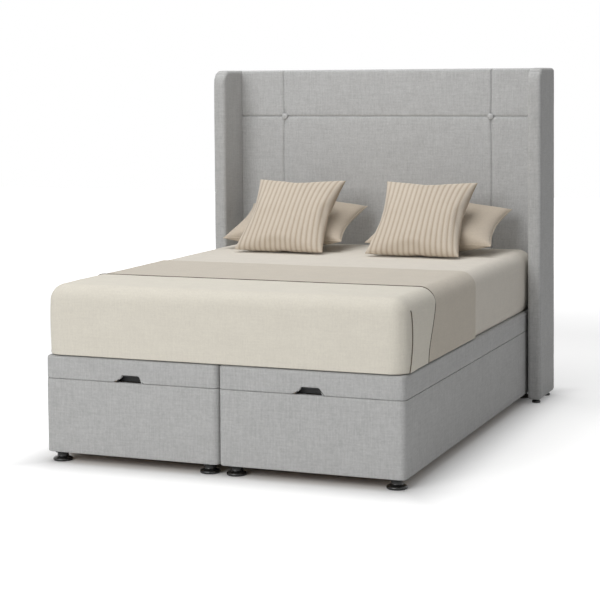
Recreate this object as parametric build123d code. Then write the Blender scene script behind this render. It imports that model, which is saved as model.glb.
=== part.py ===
from build123d import *
import math
import os

# Ottoman divan bed. X runs across the bed, Y from the foot to the head, Z up.
# While the pieces are shaped, Y is counted from the foot face and Z from the floor.

# Base: two upholstered boxes side by side.
base_width = 1500.0
base_length = 2000.0
half_gap = 3.0
glide_height = 41.0
body_height = 294.0
lid_gap = 1.0
lid_height = 90.0
panel_thickness = 18.0
rail_thickness = 19.0
cover_thickness = 6.0
cover_lip = 2.0
plan_corner = 24.0
cover_edge = 4.0
lid_edge = 9.0
ledger_width = 25.0
ledger_height = 15.0
floor_thickness = 6.0
corner_block = 90.0

# Lids: frame of rails and slats, a deck board and a cloth cover.
deck_thickness = 9.0
top_cover = 3.0
slat_width = 60.0
slat_height = 30.0
slat_shares = (0.17, 0.365, 0.56, 0.755, 0.95)

# Finger notch at the foot edge of each lid.
notch_width = 120.0
notch_top_width = 78.0
notch_height = 27.0
notch_depth = 34.0
notch_wall = 2.5
notch_corner = 6.0
notch_fit = 0.2

# Glides under the base and under the wings.
glide_inset = 48.0
glide_centre_inset = 56.0
glide_disc_radius = 40.0
glide_disc_height = 14.0
glide_stem_radius = 24.0
wing_glide_radius = 20.0
wing_glide_inset = 45.0

# Bolts that join the two halves, and the base to the headboard.
link_bolt_radius = 4.0
link_head_radius = 9.0
link_head_height = 5.0
base_link_height = 200.0
base_link_shares = (0.125, 0.35, 0.94)
lid_link_shares = (0.09, 0.46, 0.92)
board_bolt_radius = 5.0
board_head_radius = 11.0
bolt_fit = 0.1

# Floor-standing headboard with wings.
wing_clearance = 12.0
wing_board_thickness = 20.0
wing_padding = 22.0
wing_reach = 215.0
wing_foot = 18.0
wing_corner = 60.0
wing_round = 14.0
wing_small_corner = 18.0
headboard_height = 1560.0
headboard_space = 15.0
face_depth = 45.0
face_low_gap = 10.0
board_thickness = 18.0
board_foot = 40.0
back_cloth = 3.0
back_wrap = 4.0
face_edge = 10.0
seam_half_span = 530.0
seam_drop = 230.0
seam_width = 9.0
seam_depth = 6.0
button_radius = 15.0
button_height = 11.0
button_round = 7.0
button_fit = 1.0
spacer_span = 340.0
spacer_width = 80.0
spacer_low = 120.0
spacer_high = 300.0
board_bolt_low = 160.0
board_bolt_high = 260.0
bolt_bite = 12.0

# Mattress and what lies on it.
mattress_side_inset = 5.0
mattress_foot_inset = 8.0
mattress_head_inset = 7.0
mattress_thickness = 280.0
mattress_corner = 62.0
mattress_top_round = 58.0
mattress_low_round = 20.0
coverlet_thickness = 4.0
coverlet_reach = 385.0
coverlet_low_reach = 292.0
hem_gap = 4.0
throw_thickness = 3.5
throw_reach = 955.0
cloth_gap = 0.5
pleat_width = 26.0
pleat_thickness = 2.0
pleat_setback = 66.0

# Lying pillows.
pillow_width = 630.0
pillow_length = 400.0
pillow_thickness = 150.0
pillow_edge = 9.0
pillow_draw = 30.0
pillow_span = 360.0
pillow_foot = 460.0
pillow_lean = 20.0
rest_gap = 0.3

# Leaning square cushions with ribbed fronts.
cushion_size = 452.0
cushion_thickness = 130.0
cushion_edge = 9.0
cushion_draw = 26.0
cushion_span = 325.0
cushion_foot = 590.0
cushion_lean = 44.0
rib_count = 17
rib_rise = 3.0

# Stations along a stuffed form, from its lower edge to its upper one.
station_shares = (-1.0, -0.93, -0.76, -0.44, 0.0, 0.44, 0.76, 0.93, 1.0)
crown_share = 0.8

# Lift mechanism, one set at each side panel and each centre panel.
# Pivots are given as (from the head end of the base, above the floor) with the lid down.
short_base_pivot = (-595.0, 273.0)
long_base_pivot = (-795.0, 79.0)
short_lid_pivot = (-285.0, 388.0)
long_lid_pivot = (-316.5, 323.5)
strut_base_pivot = (-299.0, 87.0)
strut_lid_pivot = (-216.0, 362.0)
lift_angle = 40.0
plate_thickness = 4.0
plate_round = 17.0
arm_half_width = 13.0
arm_thickness = 5.0
arm_play = 0.2
arm_gap = 2.8
shoulder_radius = 8.0
shoulder_end = 6.0
pin_radius = 5.0
pin_head_radius = 8.0
pin_head_height = 2.0
pin_fit = 0.08
open_play = 0.95
bracket_step = 1.0
bracket_high = 16.0
flange_step = 1.3
strut_plane = 15.5
strut_eye_radius = 9.0
strut_eye_width = 8.0
strut_pin_radius = 4.0
strut_shoulder_radius = 7.0
strut_neck = 18.0
strut_neck_radius = 4.0
tube_radius = 9.0
tube_wall = 1.8
tube_end_gap = 26.0
gland_depth = 6.0
rod_radius = 4.0
rod_length = 215.0
piston_length = 8.0
slide_fit = 0.08

# Heights and places that follow.
body_top = glide_height + body_height
lid_bottom = body_top + lid_gap
lid_top = lid_bottom + lid_height
deck_top = lid_top - top_cover
deck_bottom = deck_top - deck_thickness
half_centre = (base_width + half_gap) / 4
frame_inset = cover_thickness + panel_thickness
wing_inner = base_width / 2 + wing_clearance
wing_thickness = wing_board_thickness + 2 * wing_padding
wing_outer = wing_inner + wing_thickness
face_front = base_length + headboard_space
board_front = face_front + face_depth
board_back = board_front + board_thickness
overall_depth = board_back + back_cloth + back_wrap
wing_front = face_front - wing_reach
seam_height = headboard_height - seam_drop
mattress_low = lid_top
mattress_top = mattress_low + mattress_thickness
half_mattress = base_width / 2 - mattress_side_inset
mattress_head = base_length - mattress_head_inset


def block(x_range, y_range, z_range):
    """Plain box between pairs of coordinates."""
    size = [high - low for low, high in (x_range, y_range, z_range)]
    middle = [(high + low) / 2 for low, high in (x_range, y_range, z_range)]
    return Pos(*middle) * Box(*size)


def plan_block(x_range, y_range, z_range, corner):
    """Upright block whose four vertical edges are rounded."""
    width, length = x_range[1] - x_range[0], y_range[1] - y_range[0]
    outline = RectangleRounded(width, length, corner) if corner > 0 else Rectangle(width, length)
    middle = Pos((x_range[0] + x_range[1]) / 2, (y_range[0] + y_range[1]) / 2, z_range[0])
    return middle * extrude(outline, z_range[1] - z_range[0])


def half_block(inset, z_range, corner):
    """Block over the plan of the right half of the base, drawn in by an inset."""
    x_range = (half_gap / 2 + inset, base_width / 2 - inset)
    return plan_block(x_range, (inset, base_length - inset), z_range, corner)


def rim_edges(shape, height, margin):
    """Edges of a block that lie in the level plane at a height."""
    return shape.edges().filter_by_position(Axis.Z, height - margin, height + margin)


def disc(u_range, point, radius):
    """Cylinder along X at a point given as (Y, Z)."""
    lift = Pos(u_range[0], point[0], point[1]) * Rot(0, 90, 0)
    return lift * Cylinder(radius, u_range[1] - u_range[0], align=(Align.CENTER, Align.CENTER, Align.MIN))


def rod_along(u, start, direction, span, radius):
    """Cylinder in the plane X = u, from a start point along a direction."""
    origin = (u, start[0] + direction[0] * span[0], start[1] + direction[1] * span[0])
    place = Plane(origin=origin, z_dir=(0, direction[0], direction[1]))
    return place * Cylinder(radius, span[1] - span[0], align=(Align.CENTER, Align.CENTER, Align.MIN))


def hull_plate(u_range, circles):
    """Flat plate along X whose outline is the hull of circles given as ((Y, Z), radius)."""
    rings = [Pos(y, z) * Circle(radius) for (y, z), radius in circles]
    outline = make_hull([edge for ring in rings for edge in ring.edges()])
    return Pos(u_range[0], 0, 0) * extrude(Plane.YZ * outline, u_range[1] - u_range[0])


# Base

def notch_outline(grow):
    """Half-hexagon of the finger notch, drawn with its foot on Y = 0."""
    foot, top = notch_width / 2 + grow, notch_top_width / 2 + grow
    height = notch_height + grow
    slope = (foot - top) / notch_height
    low = foot + slope * cover_edge
    corners = [(-low, -cover_edge), (low, -cover_edge), (top, height), (-top, height)]
    shape = make_face(Polyline(*corners, close=True))
    return fillet(shape.vertices().sort_by(Axis.Y)[-2:], notch_corner + grow)


def notch_prism(grow, depth):
    """Finger notch of the right lid as a solid that starts ahead of the foot face."""
    place = Plane(origin=(half_centre, -cover_edge, lid_bottom), x_dir=(1, 0, 0), z_dir=(0, -1, 0))
    return place * extrude(notch_outline(grow), -(depth + cover_edge))


def link_bolt_set(shares, height, wall):
    """Bolts along X through the two centre walls, with a head at each side."""
    reach = half_gap / 2 + cover_thickness + wall
    bolts = []
    for share in shares:
        point = (share * base_length, height)
        bolt = disc((-reach, reach), point, link_bolt_radius)
        for low, high in ((-reach - link_head_height, -reach), (reach, reach + link_head_height)):
            bolt += disc((low, high), point, link_head_radius)
        bolts.append(bolt)
    return bolts


def link_bores(shares, height, wall):
    """Clearance holes for the link bolts."""
    reach = half_gap / 2 + cover_thickness + wall
    points = [(share * base_length, height) for share in shares]
    return [disc((0, reach), point, link_bolt_radius + bolt_fit) for point in points]


def board_bolt_places():
    """Places of the four headboard bolts as (X, Z)."""
    return [(side * spacer_span, height) for side in (-1, 1) for height in (board_bolt_low, board_bolt_high)]


def board_bolt(x, z, radius, y_range):
    """Cylinder along Y at one headboard bolt."""
    place = Plane(origin=(x, y_range[0], z), z_dir=(0, 1, 0))
    return place * Cylinder(radius, y_range[1] - y_range[0], align=(Align.CENTER, Align.CENTER, Align.MIN))


def board_bores():
    """Clearance holes for the headboard bolts, from the storage space into the board."""
    y_range = (base_length - frame_inset, board_back - bolt_bite / 2)
    return [board_bolt(x, z, board_bolt_radius + bolt_fit, y_range) for x, z in board_bolt_places()]


def carcass():
    """Four panels with a ledge and corner blocks that carry the floor."""
    top = body_top - cover_lip
    inner = (glide_height, top)
    walls = half_block(cover_thickness, inner, plan_corner - cover_thickness) - half_block(frame_inset, inner, 0)
    ledge_range = (glide_height, glide_height + ledger_height)
    ledge = half_block(frame_inset, ledge_range, 0) - half_block(frame_inset + ledger_width, ledge_range, 0)
    walls += ledge
    left, right = half_gap / 2 + frame_inset, base_width / 2 - frame_inset
    for x in (left + corner_block / 2, right - corner_block / 2):
        for y in (frame_inset + corner_block / 2, base_length - frame_inset - corner_block / 2):
            x_range = (x - corner_block / 2, x + corner_block / 2)
            walls += block(x_range, (y - corner_block / 2, y + corner_block / 2), ledge_range)
    walls -= link_bores(base_link_shares, base_link_height, panel_thickness)
    return walls - board_bores()


def floor_panel():
    """Board that lies on the ledge inside one box."""
    low = glide_height + ledger_height
    return half_block(frame_inset, (low, low + floor_thickness), 0)


def base_cover():
    """Padded cloth round the four walls of one box."""
    z_range = (glide_height, body_top)
    skin = half_block(0, z_range, plan_corner)
    skin = chamfer(rim_edges(skin, body_top, cover_edge) + rim_edges(skin, glide_height, cover_edge), cover_edge / 2)
    skin -= half_block(cover_thickness, z_range, plan_corner - cover_thickness)
    skin -= link_bores(base_link_shares, base_link_height, panel_thickness)
    return skin - board_bores()


def glide_profile():
    """Half section of a turned plastic glide, as (radius, height)."""
    corners = [(0, 0), (glide_disc_radius, 0), (glide_disc_radius, glide_disc_height)]
    corners += [(glide_stem_radius, glide_disc_height), (glide_stem_radius, glide_height), (0, glide_height)]
    return make_face(Polyline(*corners, close=True))


def base_glides():
    """Eight glides, one near each corner of each box."""
    turned = revolve(Plane.XZ * glide_profile(), Axis.Z)
    glides = []
    for x in (glide_centre_inset, base_width / 2 - glide_inset):
        for y in (glide_inset, base_length - glide_inset):
            glides += [Pos(side * x, y, 0) * turned for side in (-1, 1)]
    return glides


# Lids

def lid_frame():
    """Rails round one lid with slats between them."""
    z_range = (lid_bottom + cover_lip, deck_bottom)
    frame = half_block(cover_thickness, z_range, plan_corner - cover_thickness)
    rail_inset = cover_thickness + rail_thickness
    frame -= half_block(rail_inset, z_range, 0)
    x_range = (half_gap / 2 + rail_inset, base_width / 2 - rail_inset)
    for share in slat_shares:
        y_range = (share * base_length - slat_width / 2, share * base_length + slat_width / 2)
        frame += block(x_range, y_range, (deck_bottom - slat_height, deck_bottom))
    frame -= notch_prism(notch_fit, notch_depth)
    return frame - link_bores(lid_link_shares, lid_link_height(), rail_thickness)


def lid_link_height():
    """Height of the bolts that join the two lids."""
    return (lid_bottom + deck_bottom) / 2


def lid_deck():
    """Board on top of one lid frame."""
    return half_block(cover_thickness, (deck_bottom, deck_top), plan_corner - cover_thickness)


def lid_cover():
    """Padded cloth over the top and round the sides of one lid."""
    skin = half_block(0, (lid_bottom, lid_top), plan_corner)
    skin = fillet(rim_edges(skin, lid_top, cover_edge), lid_edge)
    skin = chamfer(rim_edges(skin, lid_bottom, cover_edge), cover_edge / 2)
    skin -= half_block(cover_thickness, (lid_bottom, deck_top), plan_corner - cover_thickness)
    skin -= notch_prism(notch_fit, notch_depth)
    return skin - link_bores(lid_link_shares, lid_link_height(), rail_thickness)


def finger_cup():
    """Moulded cup that lines the finger notch, open to the foot and below."""
    cup = notch_prism(0, notch_depth) - notch_prism(-notch_wall, notch_depth - notch_wall)
    y_range, reach = (0, notch_depth), notch_width
    return cup & block((half_centre - reach, half_centre + reach), y_range, (lid_bottom, lid_top))


# Headboard

def headboard_board():
    """Board that runs down behind the base, between the two wing boards."""
    half = wing_inner + wing_padding
    board = block((-half, half), (board_front, board_back), (board_foot, headboard_height - wing_round))
    return board - board_bores()


def wing_profile(inset, low, front, back, corner, small):
    """Side outline of a wing in the YZ plane."""
    y_range, z_range = (front + inset, back), (low, headboard_height - inset)
    size = (y_range[1] - y_range[0], z_range[1] - z_range[0])
    middle = ((y_range[0] + y_range[1]) / 2, (z_range[0] + z_range[1]) / 2)
    outline = Pos(*middle) * Rectangle(*size)
    top = outline.vertices().group_by(Axis.Y)[-1]
    outline = fillet(top.sort_by(Axis.X)[0], corner)
    if small > 0:
        sharp = outline.vertices().group_by(Axis.Y)[0] + outline.vertices().sort_by(Axis.X)[-1:]
        outline = fillet(sharp, small)
    return outline


def wing_board():
    """Board inside the right wing."""
    outline = wing_profile(wing_padding, board_foot, wing_front, board_back, wing_corner - wing_padding, 0)
    return Pos(wing_inner + wing_padding, 0, 0) * extrude(Plane.YZ * outline, wing_board_thickness)


def wing_cover():
    """Padding and cloth all round the board of the right wing."""
    outline = wing_profile(0, wing_foot, wing_front, overall_depth, wing_corner, wing_small_corner)
    cover = Pos(wing_inner, 0, 0) * extrude(Plane.YZ * outline, wing_thickness)
    flat = cover.faces().sort_by(Axis.X)
    cover = fillet(flat[0].edges() + flat[-1].edges(), wing_round)
    cover -= wing_board()
    return cover - headboard_board()


def wing_glides():
    """Discs under the front and the back of both wings."""
    middle = (wing_inner + wing_outer) / 2
    places = [(side * middle, y) for side in (-1, 1) for y in (wing_front + wing_glide_inset, overall_depth - wing_glide_inset)]
    standing = (Align.CENTER, Align.CENTER, Align.MIN)
    return [Pos(x, y, 0) * Cylinder(wing_glide_radius, wing_foot, align=standing) for x, y in places]


def seam_groove(start, finish):
    """Open groove of a sewn seam on the headboard face, between two (X, Z) points."""
    across, up = finish[0] - start[0], finish[1] - start[1]
    span = math.hypot(across, up)
    place = Plane(origin=(start[0], face_front, start[1]), x_dir=(up / span, 0, -across / span), z_dir=(across / span, 0, up / span))
    lip, reach = cover_edge, seam_width / 2 * (1 + cover_edge / seam_depth)
    profile = make_face(Polyline((-reach, lip), (reach, lip), (0, -seam_depth), close=True))
    flip = 1 if (place.y_dir.Y < 0) else -1
    return place * Rot(0, 0, 90 - 90 * flip) * extrude(profile, span)


def headboard_face():
    """Padded face between the wings, with two upright seams, one level seam and two tufts."""
    low = body_top + face_low_gap
    face = block((-wing_inner, wing_inner), (face_front, board_front), (low, headboard_height))
    face += block((-wing_inner, wing_inner), (board_front, overall_depth - back_wrap), (headboard_height - wing_round, headboard_height))
    face = fillet(rim_edges(face, headboard_height, face_edge / 2).filter_by(Axis.X), face_edge)
    for side in (-1, 1):
        face -= seam_groove((side * seam_half_span, low), (side * seam_half_span, headboard_height))
    face -= seam_groove((-wing_inner, seam_height), (wing_inner, seam_height))
    for x, z in button_places():
        face -= button_form(x, z, button_radius + button_fit, (face_front, face_front + seam_depth))
    return face


def button_places():
    """Crossings of the seams, as (X, Z)."""
    return [(side * seam_half_span, seam_height) for side in (-1, 1)]


def button_form(x, z, radius, y_range):
    """Short cylinder along Y at a crossing of the seams."""
    place = Plane(origin=(x, y_range[0], z), z_dir=(0, 1, 0))
    return place * Cylinder(radius, y_range[1] - y_range[0], align=(Align.CENTER, Align.CENTER, Align.MIN))


def headboard_buttons():
    """Cloth-covered domed buttons, each seated in its tuft."""
    back = face_front + seam_depth
    buttons = []
    for x, z in button_places():
        button = button_form(x, z, button_radius, (back - button_height, back))
        front = button.edges().sort_by(Axis.Y)[0]
        buttons.append(fillet(front, button_round))
    return buttons


def back_panel():
    """Cloth on the back of the board."""
    half = wing_inner
    return block((-half, half), (board_back, board_back + back_cloth), (board_foot, headboard_height - wing_round))


def headboard_spacers():
    """Timber blocks between the base and the board."""
    spacers = []
    for side in (-1, 1):
        x_range = (side * spacer_span - spacer_width / 2, side * spacer_span + spacer_width / 2)
        spacers.append(block(x_range, (base_length, board_front), (spacer_low, spacer_high)) - board_bores())
    return spacers


def headboard_bolts():
    """Bolts from inside the storage space into the board."""
    seat = base_length - frame_inset
    bolts = []
    for x, z in board_bolt_places():
        bolt = board_bolt(x, z, board_bolt_radius, (seat, board_back - bolt_bite))
        bolts.append(bolt + board_bolt(x, z, board_head_radius, (seat - link_head_height, seat)))
    return bolts


# Bedding

def mattress_form(grow, low_round):
    """Mattress with rounded corners and edges, grown all round by a cloth."""
    x_range = (-half_mattress - grow, half_mattress + grow)
    y_range = (mattress_foot_inset - grow, mattress_head)
    form = plan_block(x_range, y_range, (mattress_low, mattress_top + grow), mattress_corner + grow)
    form = fillet(rim_edges(form, mattress_top + grow, cloth_gap), mattress_top_round + grow)
    if low_round > 0:
        form = fillet(rim_edges(form, mattress_low, cloth_gap), low_round)
    return form


def cloth_window(head_line, foot_line):
    """Prism along X that keeps the stretch of a cloth between two lines given as (top Y, low Y)."""
    high, low = mattress_top + mattress_top_round, mattress_low + hem_gap
    bend = mattress_top - mattress_top_round
    points = [(foot_line[1], low), (head_line[1], low), (head_line[0], bend), (head_line[0], high)]
    points += [(foot_line[0], high), (foot_line[0], bend)]
    outline = make_face(Polyline(*points, close=True))
    return Pos(-base_width / 2, 0, 0) * extrude(Plane.YZ * outline, base_width)


def coverlet():
    """Cloth over the foot end, with a flat pleat at each side of the foot."""
    sheet = mattress_form(coverlet_thickness, 0) - mattress_form(0, 0)
    sheet &= cloth_window((coverlet_reach, coverlet_low_reach), (0, 0))
    high, low = mattress_top - mattress_top_round, mattress_low + hem_gap
    outer = half_mattress + coverlet_thickness
    foot = (pleat_setback, low), (pleat_setback + pleat_width, low), (pleat_setback + pleat_width / 2, high)
    pleat = extrude(Plane.YZ * make_face(Polyline(*foot, close=True)), pleat_thickness)
    for x in (outer, -outer - pleat_thickness):
        sheet += Pos(x, 0, 0) * pleat
    return sheet


def throw():
    """Band of cloth across the bed behind the coverlet."""
    sheet = mattress_form(throw_thickness, 0) - mattress_form(0, 0)
    foot_line = (coverlet_reach + cloth_gap, coverlet_low_reach + cloth_gap)
    return sheet & cloth_window((throw_reach, throw_reach), foot_line)


def arc_height(share, full, edge):
    """Half thickness of a stuffed form at a share of its reach from the middle."""
    return edge / 2 + (full - edge) / 2 * math.cos(math.pi / 2 * share) ** crown_share


def stuffed_section(half_width, rise, station, ribs, rib_height):
    """Closed section of a stuffed form: a crowned front, ribbed or plain, and a crowned back."""
    left, right = (-half_width, station, 0), (half_width, station, 0)
    back = ThreePointArc(right, (0, station, -rise), left)
    if ribs == 0:
        return Wire([ThreePointArc(left, (0, station, rise), right), back])
    radius = (half_width ** 2 + rise ** 2) / (2 * rise)
    swing = math.asin(half_width / radius)
    joints = []
    for step in range(ribs + 1):
        turn = swing * (2 * step / ribs - 1)
        joints.append((radius * math.sin(turn), radius * math.cos(turn) - radius + rise))
    joints[0], joints[-1] = (-half_width, 0), (half_width, 0)
    front = []
    for (x0, z0), (x1, z1) in zip(joints, joints[1:]):
        chord = math.hypot(x1 - x0, z1 - z0)
        lift = rib_height / chord
        crest = ((x0 + x1) / 2 - (z1 - z0) * lift, station, (z0 + z1) / 2 + (x1 - x0) * lift)
        front += [Line((x0, station, z0), crest), Line(crest, (x1, station, z1))]
    return Wire(front + [back])


def stuffed_form(width, length, thickness, edge, draw, ribs, rib_height):
    """Stuffed form lying in the XY plane: crowned, with its sides drawn in between the corners."""
    sections = []
    for share in station_shares:
        half_width = width / 2 - draw * math.cos(math.pi / 2 * share)
        rise = arc_height(abs(share), thickness, edge)
        fade = math.cos(math.pi / 2 * share * (1 - edge / thickness))
        sections.append(stuffed_section(half_width, rise, share * length / 2, ribs, rib_height * (fade + edge / thickness)))
    return Solid.make_loft(sections, True)


def leaning(form, length, x, foot, lean):
    """Rests a stuffed form on the mattress, its lower edge a foot distance from the head end, leaning back."""
    turned = Rot(lean, 0, 0) * form
    y = base_length - foot + math.cos(math.radians(lean)) * length / 2
    return Pos(x, y, mattress_top + rest_gap - turned.bounding_box().min.Z) * turned


def pillow():
    """Right pillow."""
    form = stuffed_form(pillow_width, pillow_length, pillow_thickness, pillow_edge, pillow_draw, 0, 0)
    return leaning(form, pillow_length, pillow_span, pillow_foot, pillow_lean)


def cushion():
    """Right square cushion, ribbed down its front."""
    form = stuffed_form(cushion_size, cushion_size, cushion_thickness, cushion_edge, cushion_draw, rib_count, rib_rise)
    return leaning(form, cushion_size, cushion_span, cushion_foot, cushion_lean)


# Lift mechanism. U runs from a panel's inner face into the storage space, and Y is counted from the head end.

def away(start, finish):
    """Distance and unit direction from one pivot to another."""
    span = math.dist(start, finish)
    return span, ((finish[0] - start[0]) / span, (finish[1] - start[1]) / span)


def swung(point, centre, angle):
    """Point turned about a centre in the YZ plane by an angle in radians."""
    y, z = point[0] - centre[0], point[1] - centre[1]
    cosine, sine = math.cos(angle), math.sin(angle)
    return (centre[0] + cosine * y - sine * z, centre[1] + sine * y + cosine * z)


def lifted(point, arm_turn):
    """Place of a point of the lid when the short arm has turned and the lid is fully tilted."""
    pivot = swung(short_lid_pivot, short_base_pivot, arm_turn)
    turned = swung(point, short_lid_pivot, -math.radians(lift_angle))
    return (turned[0] - short_lid_pivot[0] + pivot[0], turned[1] - short_lid_pivot[1] + pivot[1])


def short_arm_turn():
    """Turn of the short arm, in radians, at which both arms meet the fully tilted lid."""
    reach = math.dist(long_base_pivot, long_lid_pivot)
    low, high = math.pi / 12, math.pi / 2
    for _ in range(60):
        middle = (low + high) / 2
        if math.dist(long_base_pivot, lifted(long_lid_pivot, middle)) > reach:
            low = middle
        else:
            high = middle
    return (low + high) / 2


def bearing(start, finish):
    """Angle of the line between two pivots, in radians."""
    return math.atan2(finish[1] - start[1], finish[0] - start[0])


def travels():
    """Full travels of the mechanism: short arm, long arm and strut turns in degrees, strut stroke."""
    turn = short_arm_turn()
    long_turn = bearing(long_base_pivot, lifted(long_lid_pivot, turn)) - bearing(long_base_pivot, long_lid_pivot)
    strut_end = lifted(strut_lid_pivot, turn)
    strut_turn = bearing(strut_base_pivot, strut_end) - bearing(strut_base_pivot, strut_lid_pivot)
    stroke = math.dist(strut_base_pivot, strut_end) - math.dist(strut_base_pivot, strut_lid_pivot)
    return math.degrees(turn), math.degrees(long_turn), math.degrees(strut_turn), stroke


def arm_planes():
    """Start planes of the short arm and of the long arm, which cross over each other."""
    near = shoulder_end + arm_play
    return near, near + arm_thickness + arm_gap


def arm_stud(point, start, low):
    """Shouldered pin with a head, from a plate's face through the arm that starts at a low plane."""
    end = low + arm_thickness + arm_play
    stud = disc((start, low - arm_play), point, shoulder_radius)
    stud += disc((low - arm_play, end), point, pin_radius)
    return stud + disc((end, end + pin_head_height), point, pin_head_radius)


def strut_stud(point, start):
    """Shouldered pin with a head for an end eye of the gas strut."""
    eye = (strut_plane - strut_eye_width / 2 - arm_play, strut_plane + strut_eye_width / 2 + arm_play)
    stud = disc((start, eye[0]), point, strut_shoulder_radius)
    stud += disc(eye, point, strut_pin_radius)
    return stud + disc((eye[1], eye[1] + pin_head_height), point, strut_shoulder_radius)


def hinge_plate():
    """Plate on a panel of the base, with the pins of both arms and of the strut."""
    circles = [(point, plate_round) for point in (short_base_pivot, long_base_pivot, strut_base_pivot)]
    plate = hull_plate((0, plate_thickness), circles)
    for point, low in zip((short_base_pivot, long_base_pivot), arm_planes()):
        plate += arm_stud(point, plate_thickness, low)
    return plate + strut_stud(strut_base_pivot, plate_thickness)


def bracket_flange(u_range, points):
    """Flat flange of the lid bracket that hangs from the deck round some pivots."""
    high = deck_bottom - bracket_high - plate_thickness / 2
    circles = [(point, plate_round) for point in points]
    return hull_plate(u_range, circles + [((point[0], high), bracket_high) for point in points])


def lid_bracket():
    """Channel under the lid: the short arm's and the strut's pins face one way, the long arm's faces them."""
    near, far = arm_planes()
    end = bracket_step + plate_thickness
    plate = bracket_flange((bracket_step, end), (long_lid_pivot, strut_lid_pivot))
    plate += arm_stud(short_lid_pivot, end, near) + strut_stud(strut_lid_pivot, end)
    arm_end = far + arm_thickness + arm_play
    face = arm_end + flange_step
    flange = bracket_flange((face, face + plate_thickness), (long_lid_pivot,))
    flange += disc((arm_end, face), long_lid_pivot, shoulder_radius)
    flange += disc((far - arm_play, arm_end), long_lid_pivot, pin_radius)
    flange += disc((far - arm_play - pin_head_height, far - arm_play), long_lid_pivot, pin_head_radius)
    along = [point[0] for point in (long_lid_pivot, short_lid_pivot, strut_lid_pivot)]
    y_range = (min(along) - bracket_high, max(along) + bracket_high)
    web = block((bracket_step, face + plate_thickness), y_range, (deck_bottom - plate_thickness, deck_bottom))
    return plate + web + flange


def lift_arm(base_pivot, lid_pivot, lid_play, low):
    """Flat bar between two pins, from a low plane."""
    bar = hull_plate((low, low + arm_thickness), [(base_pivot, arm_half_width), (lid_pivot, arm_half_width)])
    bore = (0, low + 2 * arm_thickness)
    bar -= disc(bore, base_pivot, pin_radius + pin_fit)
    return bar - disc(bore, lid_pivot, pin_radius + lid_play)


def strut_eye(point, play):
    """Ring of a strut's end eye and its bore."""
    eye = (strut_plane - strut_eye_width / 2, strut_plane + strut_eye_width / 2)
    bore = (eye[0] - strut_eye_width, eye[1] + strut_eye_width)
    return disc(eye, point, strut_eye_radius), disc(bore, point, strut_pin_radius + play)


def strut_tube():
    """Gas strut tube with its lower eye, bore and gland."""
    span, along = away(strut_base_pivot, strut_lid_pivot)
    start, end = strut_neck, span - tube_end_gap
    ring, bore = strut_eye(strut_base_pivot, pin_fit)
    tube = ring + rod_along(strut_plane, strut_base_pivot, along, (strut_eye_radius / 2, start + tube_wall), strut_neck_radius)
    tube += rod_along(strut_plane, strut_base_pivot, along, (start, end), tube_radius)
    tube -= rod_along(strut_plane, strut_base_pivot, along, (start + tube_wall + gland_depth, end - gland_depth), tube_radius - tube_wall)
    tube -= rod_along(strut_plane, strut_base_pivot, along, (end - 2 * gland_depth, end + gland_depth), rod_radius + slide_fit)
    return tube - bore


def strut_rod():
    """Gas strut rod with its upper eye and its piston."""
    span, along = away(strut_base_pivot, strut_lid_pivot)
    low = span - rod_length
    ring, bore = strut_eye(strut_lid_pivot, open_play)
    rod = ring + rod_along(strut_plane, strut_base_pivot, along, (low, span - strut_eye_radius / 2), rod_radius)
    rod += rod_along(strut_plane, strut_base_pivot, along, (low, low + piston_length), tube_radius - tube_wall - slide_fit)
    return rod - bore


def stations():
    """Where each mechanism set stands: name, X of the panel's inner face, side that it faces."""
    outer = base_width / 2 - frame_inset
    inner = half_gap / 2 + frame_inset
    return [("left_outer", -outer, 1), ("left_inner", -inner, -1), ("right_inner", inner, 1), ("right_outer", outer, -1)]


def at_station(shape, x, side):
    """Moves a mechanism piece from U to its station."""
    placed = shape if side > 0 else mirror(shape, Plane.YZ)
    return Pos(x, base_length, 0) * placed


def write(name, shapes):
    """Shifts a node so that the bed stands centred on its origin, and writes it."""
    solids = [solid for shape in shapes for solid in shape.solids()]
    moved = [Pos(0, -overall_depth / 2, 0) * solid for solid in solids]
    export_step(Compound(children=moved, label=name), f"parts/{name}.step")


def write_pair(name, shape):
    """Writes a right piece and its mirror image on the left."""
    write(f"{name}_right", [shape])
    write(f"{name}_left", [mirror(shape, Plane.YZ)])


def main():
    os.makedirs("parts", exist_ok=True)
    paired = {"base_carcass": carcass, "base_floor": floor_panel, "base_cover": base_cover}
    paired.update({"lid_frame": lid_frame, "lid_deck": lid_deck, "lid_cover": lid_cover, "finger_cup": finger_cup})
    paired.update({"wing_board": wing_board, "wing_cover": wing_cover, "pillow": pillow, "cushion": cushion})
    for name, make in paired.items():
        write_pair(name, make())
    single = {"headboard_board": headboard_board, "headboard_face": headboard_face, "headboard_back": back_panel}
    single.update({"mattress": lambda: mattress_form(0, mattress_low_round), "coverlet": coverlet, "throw": throw})
    for name, make in single.items():
        write(name, [make()])
    grouped = {"base_glides": base_glides, "wing_glides": wing_glides, "headboard_buttons": headboard_buttons}
    grouped.update({"headboard_spacers": headboard_spacers, "headboard_bolts": headboard_bolts})
    for name, make in grouped.items():
        write(name, make())
    write("base_link_bolts", link_bolt_set(base_link_shares, base_link_height, panel_thickness))
    write("lid_link_bolts", link_bolt_set(lid_link_shares, lid_link_height(), rail_thickness))
    sets = {"hinge_plate": hinge_plate(), "lid_bracket": lid_bracket(), "strut_tube": strut_tube(), "strut_rod": strut_rod()}
    near, far = arm_planes()
    sets["short_arm"] = lift_arm(short_base_pivot, short_lid_pivot, pin_fit, near)
    sets["long_arm"] = lift_arm(long_base_pivot, long_lid_pivot, open_play, far)
    for station, x, side in stations():
        for piece, shape in sets.items():
            write(f"{station}_{piece}", [at_station(shape, x, side)])
    print("travels: short arm %.4f, long arm %.4f, strut %.4f degrees, stroke %.4f" % travels())


main()
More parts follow.
